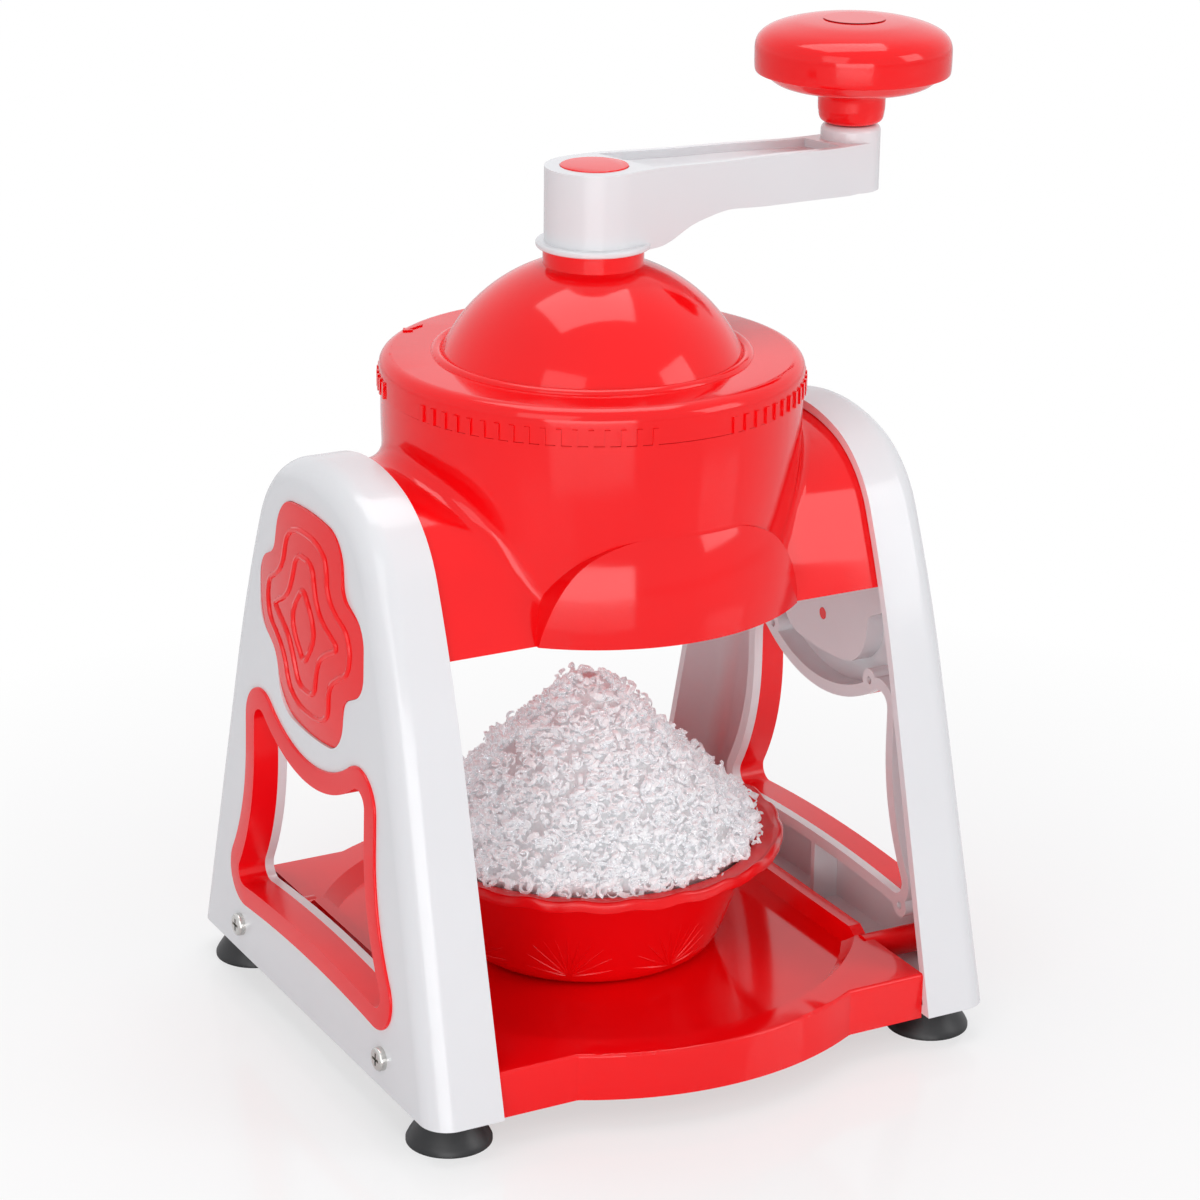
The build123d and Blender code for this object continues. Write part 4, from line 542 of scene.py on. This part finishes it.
def grain_shape():
    """A squashed ball."""
    deselect()
    bpy.ops.mesh.primitive_ico_sphere_add(subdivisions=1, radius=0.75)
    grain = bpy.context.object
    for vertex in grain.data.vertices:
        vertex.co.z *= 0.55
        vertex.co.x *= 1.2
    return as_arrays(grain)


shapes = [curl_shape(), flake_shape(), grain_shape()]
print("shavings have", [len(faces) for _, faces in shapes], "faces")

# %% Strewing the shavings
slope = ICE_PROFILE[SLOPE_START:]
ICE_SEED = 7
SHAVINGS, SHAPE_SHARES = 5600, (5, 3, 3)
# In millimetres: how far the loosest shavings stand out, how deep the others lie, and their sizes.
LOOSE_REACH, SHAVING_DEPTH, CURL_SIZE = 2.6, (-0.2, 1.2), (0.85, 1.7)
SHAVING_SMOOTH = 40


def on_slope(draw):
    """A point on the heap, drawn evenly over its area, with its outward normal, in millimetres."""
    lengths = [math.hypot(b[0] - a[0], b[1] - a[1]) * (a[0] + b[0]) for a, b in zip(slope, slope[1:])]
    (r0, z0), (r1, z1) = draw.choices(list(zip(slope, slope[1:])), lengths)[0]
    share = draw.random()
    radius, height = r0 + (r1 - r0) * share, z0 + (z1 - z0) * share
    angle = draw.uniform(0, 2 * math.pi)
    length = math.hypot(r1 - r0, z1 - z0)
    out, up = (z1 - z0) / length, -(r1 - r0) / length
    side = Vector((math.cos(angle), math.sin(angle), 0))
    return side * radius + Vector((0, 0, height)), side * out + Vector((0, 0, up))


def strew(name, count, seed, size):
    """One mesh of many shavings laid on the slope."""
    draw = random.Random(seed)
    points, faces, start = [], [], 0
    for _ in range(count):
        shape_points, shape_faces = shapes[draw.choices((0, 1, 2), SHAPE_SHARES)[0]]
        place, normal = on_slope(draw)
        turn = Matrix.Rotation(draw.uniform(0, 2 * math.pi), 3, "Z")
        turn = Matrix.Rotation(draw.uniform(0, math.pi), 3, "X") @ turn
        turn = normal.to_track_quat("Z", "Y").to_matrix() @ turn
        scale = draw.uniform(*size) * draw.choice((0.7, 1, 1, 1.2))
        place = place + normal * (draw.uniform(*SHAVING_DEPTH) + LOOSE_REACH * draw.random() ** 5)
        matrix = np.array(turn) * scale * MM
        points.append(shape_points @ matrix.T + np.array(about_crank(*place)))
        faces += [tuple(index + start for index in face) for face in shape_faces]
        start += len(shape_points)
    mesh = bpy.data.meshes.new(name)
    mesh.from_pydata(np.concatenate(points).tolist(), [], faces)
    piece = bpy.data.objects.new(name, mesh)
    bpy.context.scene.collection.objects.link(piece)
    activate(piece)
    bpy.ops.object.shade_smooth_by_angle(angle=math.radians(SHAVING_SMOOTH))
    finish_piece(piece, name, finishes["ice_curl"], "bowl")
    return piece


for part, seed in (("ice_shavings_a", ICE_SEED), ("ice_shavings_b", ICE_SEED + 1)):
    piece = strew(part, SHAVINGS // 2, seed, CURL_SIZE)
    print(part, len(piece.data.polygons), "faces")

# %% [markdown]
# ## Smooth copies of the moulded parts
# A measured part arrives as loose triangles. Welding a copy and smoothing it by angle gives the long,
# unbroken highlights of polished plastic while every real edge stays crisp.

# %% Smooth copies
SMOOTH_ANGLE = 28
WELD = 0.000004
bodies = frame["record"]["behaviour"]["bodies"]
body_of = {name: body for body, names in bodies.items() for name in names}
finish_of = {name: finish for finish, names in FINISH_OF.items() for name in names}


def smooth_copy(name):
    """A welded, smooth copy that stands for a measured part."""
    deselect()
    mesh = nodes[name].data.copy()
    copy = bpy.data.objects.new(name + "_smooth", mesh)
    bpy.context.scene.collection.objects.link(copy)
    activate(copy)
    bpy.ops.object.mode_set(mode="EDIT")
    bpy.ops.mesh.select_all(action="SELECT")
    bpy.ops.mesh.customdata_custom_splitnormals_clear()
    bpy.ops.mesh.remove_doubles(threshold=WELD)
    bpy.ops.object.mode_set(mode="OBJECT")
    bpy.ops.object.shade_smooth_by_angle(angle=math.radians(SMOOTH_ANGLE))
    finish_piece(copy, name + "_smooth", finishes[finish_of[name]], body_of[name], [name])
    return copy


BADGES = {"side_badge_left": 1, "side_badge_right": -1}
for name in finish_of:
    if name not in BADGES:
        smooth_copy(name)
print("smooth copies:", len(finish_of) - len(BADGES))

# %% [markdown]
# ## Badges
# The red badge on each side carries three raised outlines, round in section like a bead of icing. The
# measured part has them as plain flat ridges. So its copy has the ridges pressed flush with the crowned
# face, and the beads are laid on it instead: a closed curve through a few points, given a round bevel
# and turned into a mesh. The curve is drawn as a quarter and mirrored both ways.

# %% Badge outlines
# The face is part of a large ball, whose centre lies on the far side of the machine.
CROWN_CENTRE, CROWN_RADIUS, BADGE_HEIGHT = 152.12, 242.0, 129.5
RIDGE_RISE, RIDGE_REACH, RIDGE_WELD = 0.6, 0.1, 0.00015
BEAD_SIZE, BEAD_SINK = 0.95, 0.25
# Quarters of each outline, in millimetres across and up from the badge's middle.
BADGE_OUTLINES = {
    "outer": [(0, 26.3), (7.7, 25.4), (12.1, 22.9), (13.7, 19.8), (14.6, 15.6), (16.7, 12.0),
              (20.8, 8.8), (25.3, 6.1), (27.2, 2.3)],
    "inner": [(0, 19.5), (3.0, 19.3), (5.5, 17.6), (6.8, 14.3), (8.2, 10.5), (10.4, 6.9), (14.2, 3.9),
              (18.0, 1.9), (20.3, 0)],
    "lens": [(0, 10.1), (3.2, 7.4), (5.6, 4.2), (6.8, 1.2)],
}


def whole_loop(quarter):
    """A quarter outline mirrored both ways into a closed loop."""
    upper = quarter + [(x, -y) for x, y in reversed(quarter) if y]
    return upper + [(-x, y) for x, y in reversed(upper) if x]


def press_ridges(badge, side):
    """Presses the flat ridges of a badge's copy flush with its crown."""
    centre = about_crank(side * CROWN_CENTRE, 0, BADGE_HEIGHT)
    pressed = 0
    for vertex in badge.data.vertices:
        away = vertex.co - centre
        if abs(away.length / MM - CROWN_RADIUS - RIDGE_RISE) < RIDGE_REACH:
            vertex.co = centre + away * (CROWN_RADIUS / (CROWN_RADIUS + RIDGE_RISE))
            pressed += 1
    activate(badge)
    bpy.ops.object.mode_set(mode="EDIT")
    bpy.ops.mesh.select_all(action="SELECT")
    bpy.ops.mesh.remove_doubles(threshold=RIDGE_WELD)
    bpy.ops.object.mode_set(mode="OBJECT")
    return pressed


def bead(loop, side):
    """A round bead along a closed loop on the badge's crown."""
    data = bpy.data.curves.new("bead", "CURVE")
    data.dimensions = "3D"
    data.bevel_depth, data.bevel_resolution, data.resolution_u = BEAD_SIZE * MM, 3, 5
    spline = data.splines.new("BEZIER")
    spline.bezier_points.add(len(loop) - 1)
    spline.use_cyclic_u = True
    reach = CROWN_RADIUS - BEAD_SINK
    for point, (across, up) in zip(spline.bezier_points, loop):
        out = math.sqrt(reach ** 2 - across ** 2 - up ** 2)
        point.co = about_crank(side * (CROWN_CENTRE - out), across, BADGE_HEIGHT + up)
        point.handle_left_type = point.handle_right_type = "AUTO"
    piece = bpy.data.objects.new("bead", data)
    bpy.context.scene.collection.objects.link(piece)
    activate(piece)
    bpy.ops.object.convert(target="MESH")
    return bpy.context.object


def beaded_badge(name, side):
    """A badge's smooth copy with its ridges pressed away and its beads joined on."""
    badge = smooth_copy(name)
    pressed = press_ridges(badge, side)
    beads = [bead(whole_loop(quarter), side) for quarter in BADGE_OUTLINES.values()]
    deselect()
    for piece in beads:
        piece.data.materials.append(finishes["red"])
        piece.select_set(True)
    badge.select_set(True)
    bpy.context.view_layer.objects.active = badge
    bpy.ops.object.join()
    bpy.ops.object.shade_smooth_by_angle(angle=math.radians(SMOOTH_ANGLE))
    print(name, "pressed", pressed, "points, now", len(badge.data.polygons), "faces")


for name, side in BADGES.items():
    beaded_badge(name, side)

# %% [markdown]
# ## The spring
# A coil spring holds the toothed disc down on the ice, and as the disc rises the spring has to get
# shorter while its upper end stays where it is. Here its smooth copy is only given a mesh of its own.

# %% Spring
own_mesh(bpy.data.objects["press_spring_smooth"])

# %% [markdown]
# ## Floor and light
# The machine stands on a plain white floor that fades into white. The floor keeps the shadow and a
# faint reflection. Large soft lamps to the left, right and above make the broad highlights that show
# how round each part is, and a low one in front lights the ice and the frames' inner faces.

# %% Floor
# Two distances from the machine's middle, in metres, and how much of the white is the floor's own glow
# at each of them.
FLOOR_FADE, FLOOR_GLOW = (0.12, 0.34), (0.6, 1.0)


def white_floor():
    """A wide white floor, lit and glossy near the machine and glowing white further out."""
    deselect()
    bpy.ops.mesh.primitive_plane_add(size=14, location=(0, 0, 0))
    floor = bpy.context.object
    floor.name = "floor"
    material, tree, shader = new_material("white_floor")
    shader.inputs["Base Color"].default_value = (0.9, 0.9, 0.905, 1)
    shader.inputs["Roughness"].default_value = 0.10
    shader.inputs["Specular IOR Level"].default_value = 0.5
    glow = tree.nodes.new("ShaderNodeEmission")
    glow.inputs["Color"].default_value = (1, 1, 1, 1)
    place = tree.nodes.new("ShaderNodeTexCoord")
    length = tree.nodes.new("ShaderNodeVectorMath")
    length.operation = "LENGTH"
    tree.links.new(place.outputs["Object"], length.inputs[0])
    fade = tree.nodes.new("ShaderNodeMapRange")
    fade.inputs["From Min"].default_value, fade.inputs["From Max"].default_value = FLOOR_FADE
    fade.inputs["To Min"].default_value, fade.inputs["To Max"].default_value = FLOOR_GLOW
    tree.links.new(length.outputs["Value"], fade.inputs["Value"])
    path = tree.nodes.new("ShaderNodeLightPath")
    share = tree.nodes.new("ShaderNodeMath")
    share.operation = "MULTIPLY"
    tree.links.new(path.outputs["Is Camera Ray"], share.inputs[0])
    tree.links.new(fade.outputs["Result"], share.inputs[1])
    mix = tree.nodes.new("ShaderNodeMixShader")
    tree.links.new(share.outputs[0], mix.inputs["Fac"])
    tree.links.new(shader.outputs["BSDF"], mix.inputs[1])
    tree.links.new(glow.outputs["Emission"], mix.inputs[2])
    tree.links.new(mix.outputs["Shader"], tree.nodes["Material Output"].inputs["Surface"])
    floor.data.materials.append(material)


white_floor()

# %% Lamps
def soft_lamp(name, place, size, power, target=(0, 0, 0.12)):
    """A large soft lamp aimed at the machine."""
    data = bpy.data.lights.new(name, "AREA")
    data.shape = "RECTANGLE"
    data.size, data.size_y = size
    data.energy = power
    lamp = bpy.data.objects.new(name, data)
    bpy.context.scene.collection.objects.link(lamp)
    lamp.location = place
    lamp.rotation_euler = (Vector(target) - Vector(place)).to_track_quat("-Z", "Y").to_euler()


soft_lamp("left_lamp", (-1.25, -0.95, 0.95), (0.9, 1.1), 5.0)
soft_lamp("right_lamp", (1.15, -1.15, 0.85), (0.75, 0.95), 6.4)
soft_lamp("top_lamp", (0.05, 0.25, 1.6), (1.2, 0.9), 10)
soft_lamp("front_fill", (-0.7, -1.3, 0.15), (1.2, 0.5), 7.0)


WORLD_LIGHT = 0.40


def white_world():
    """Plain white where the camera, gloss or glass sees it, and a gentle level as light."""
    world = bpy.data.worlds.new("world")
    bpy.context.scene.world = world
    world.use_nodes = True
    tree = world.node_tree
    sky = tree.nodes["Background"]
    sky.inputs["Color"].default_value = (0.97, 0.975, 1.0, 1)
    path = tree.nodes.new("ShaderNodeLightPath")
    seen = tree.nodes.new("ShaderNodeMath")
    seen.operation = "MAXIMUM"
    tree.links.new(path.outputs["Is Camera Ray"], seen.inputs[0])
    tree.links.new(path.outputs["Is Transmission Ray"], seen.inputs[1])
    shiny = tree.nodes.new("ShaderNodeMath")
    shiny.operation = "MAXIMUM"
    tree.links.new(seen.outputs[0], shiny.inputs[0])
    tree.links.new(path.outputs["Is Glossy Ray"], shiny.inputs[1])
    level = tree.nodes.new("ShaderNodeMapRange")
    level.inputs["To Min"].default_value, level.inputs["To Max"].default_value = WORLD_LIGHT, 1.0
    tree.links.new(shiny.outputs[0], level.inputs["Value"])
    tree.links.new(level.outputs["Result"], sky.inputs["Strength"])


white_world()

scene = bpy.context.scene
scene.view_settings.view_transform = "Standard"
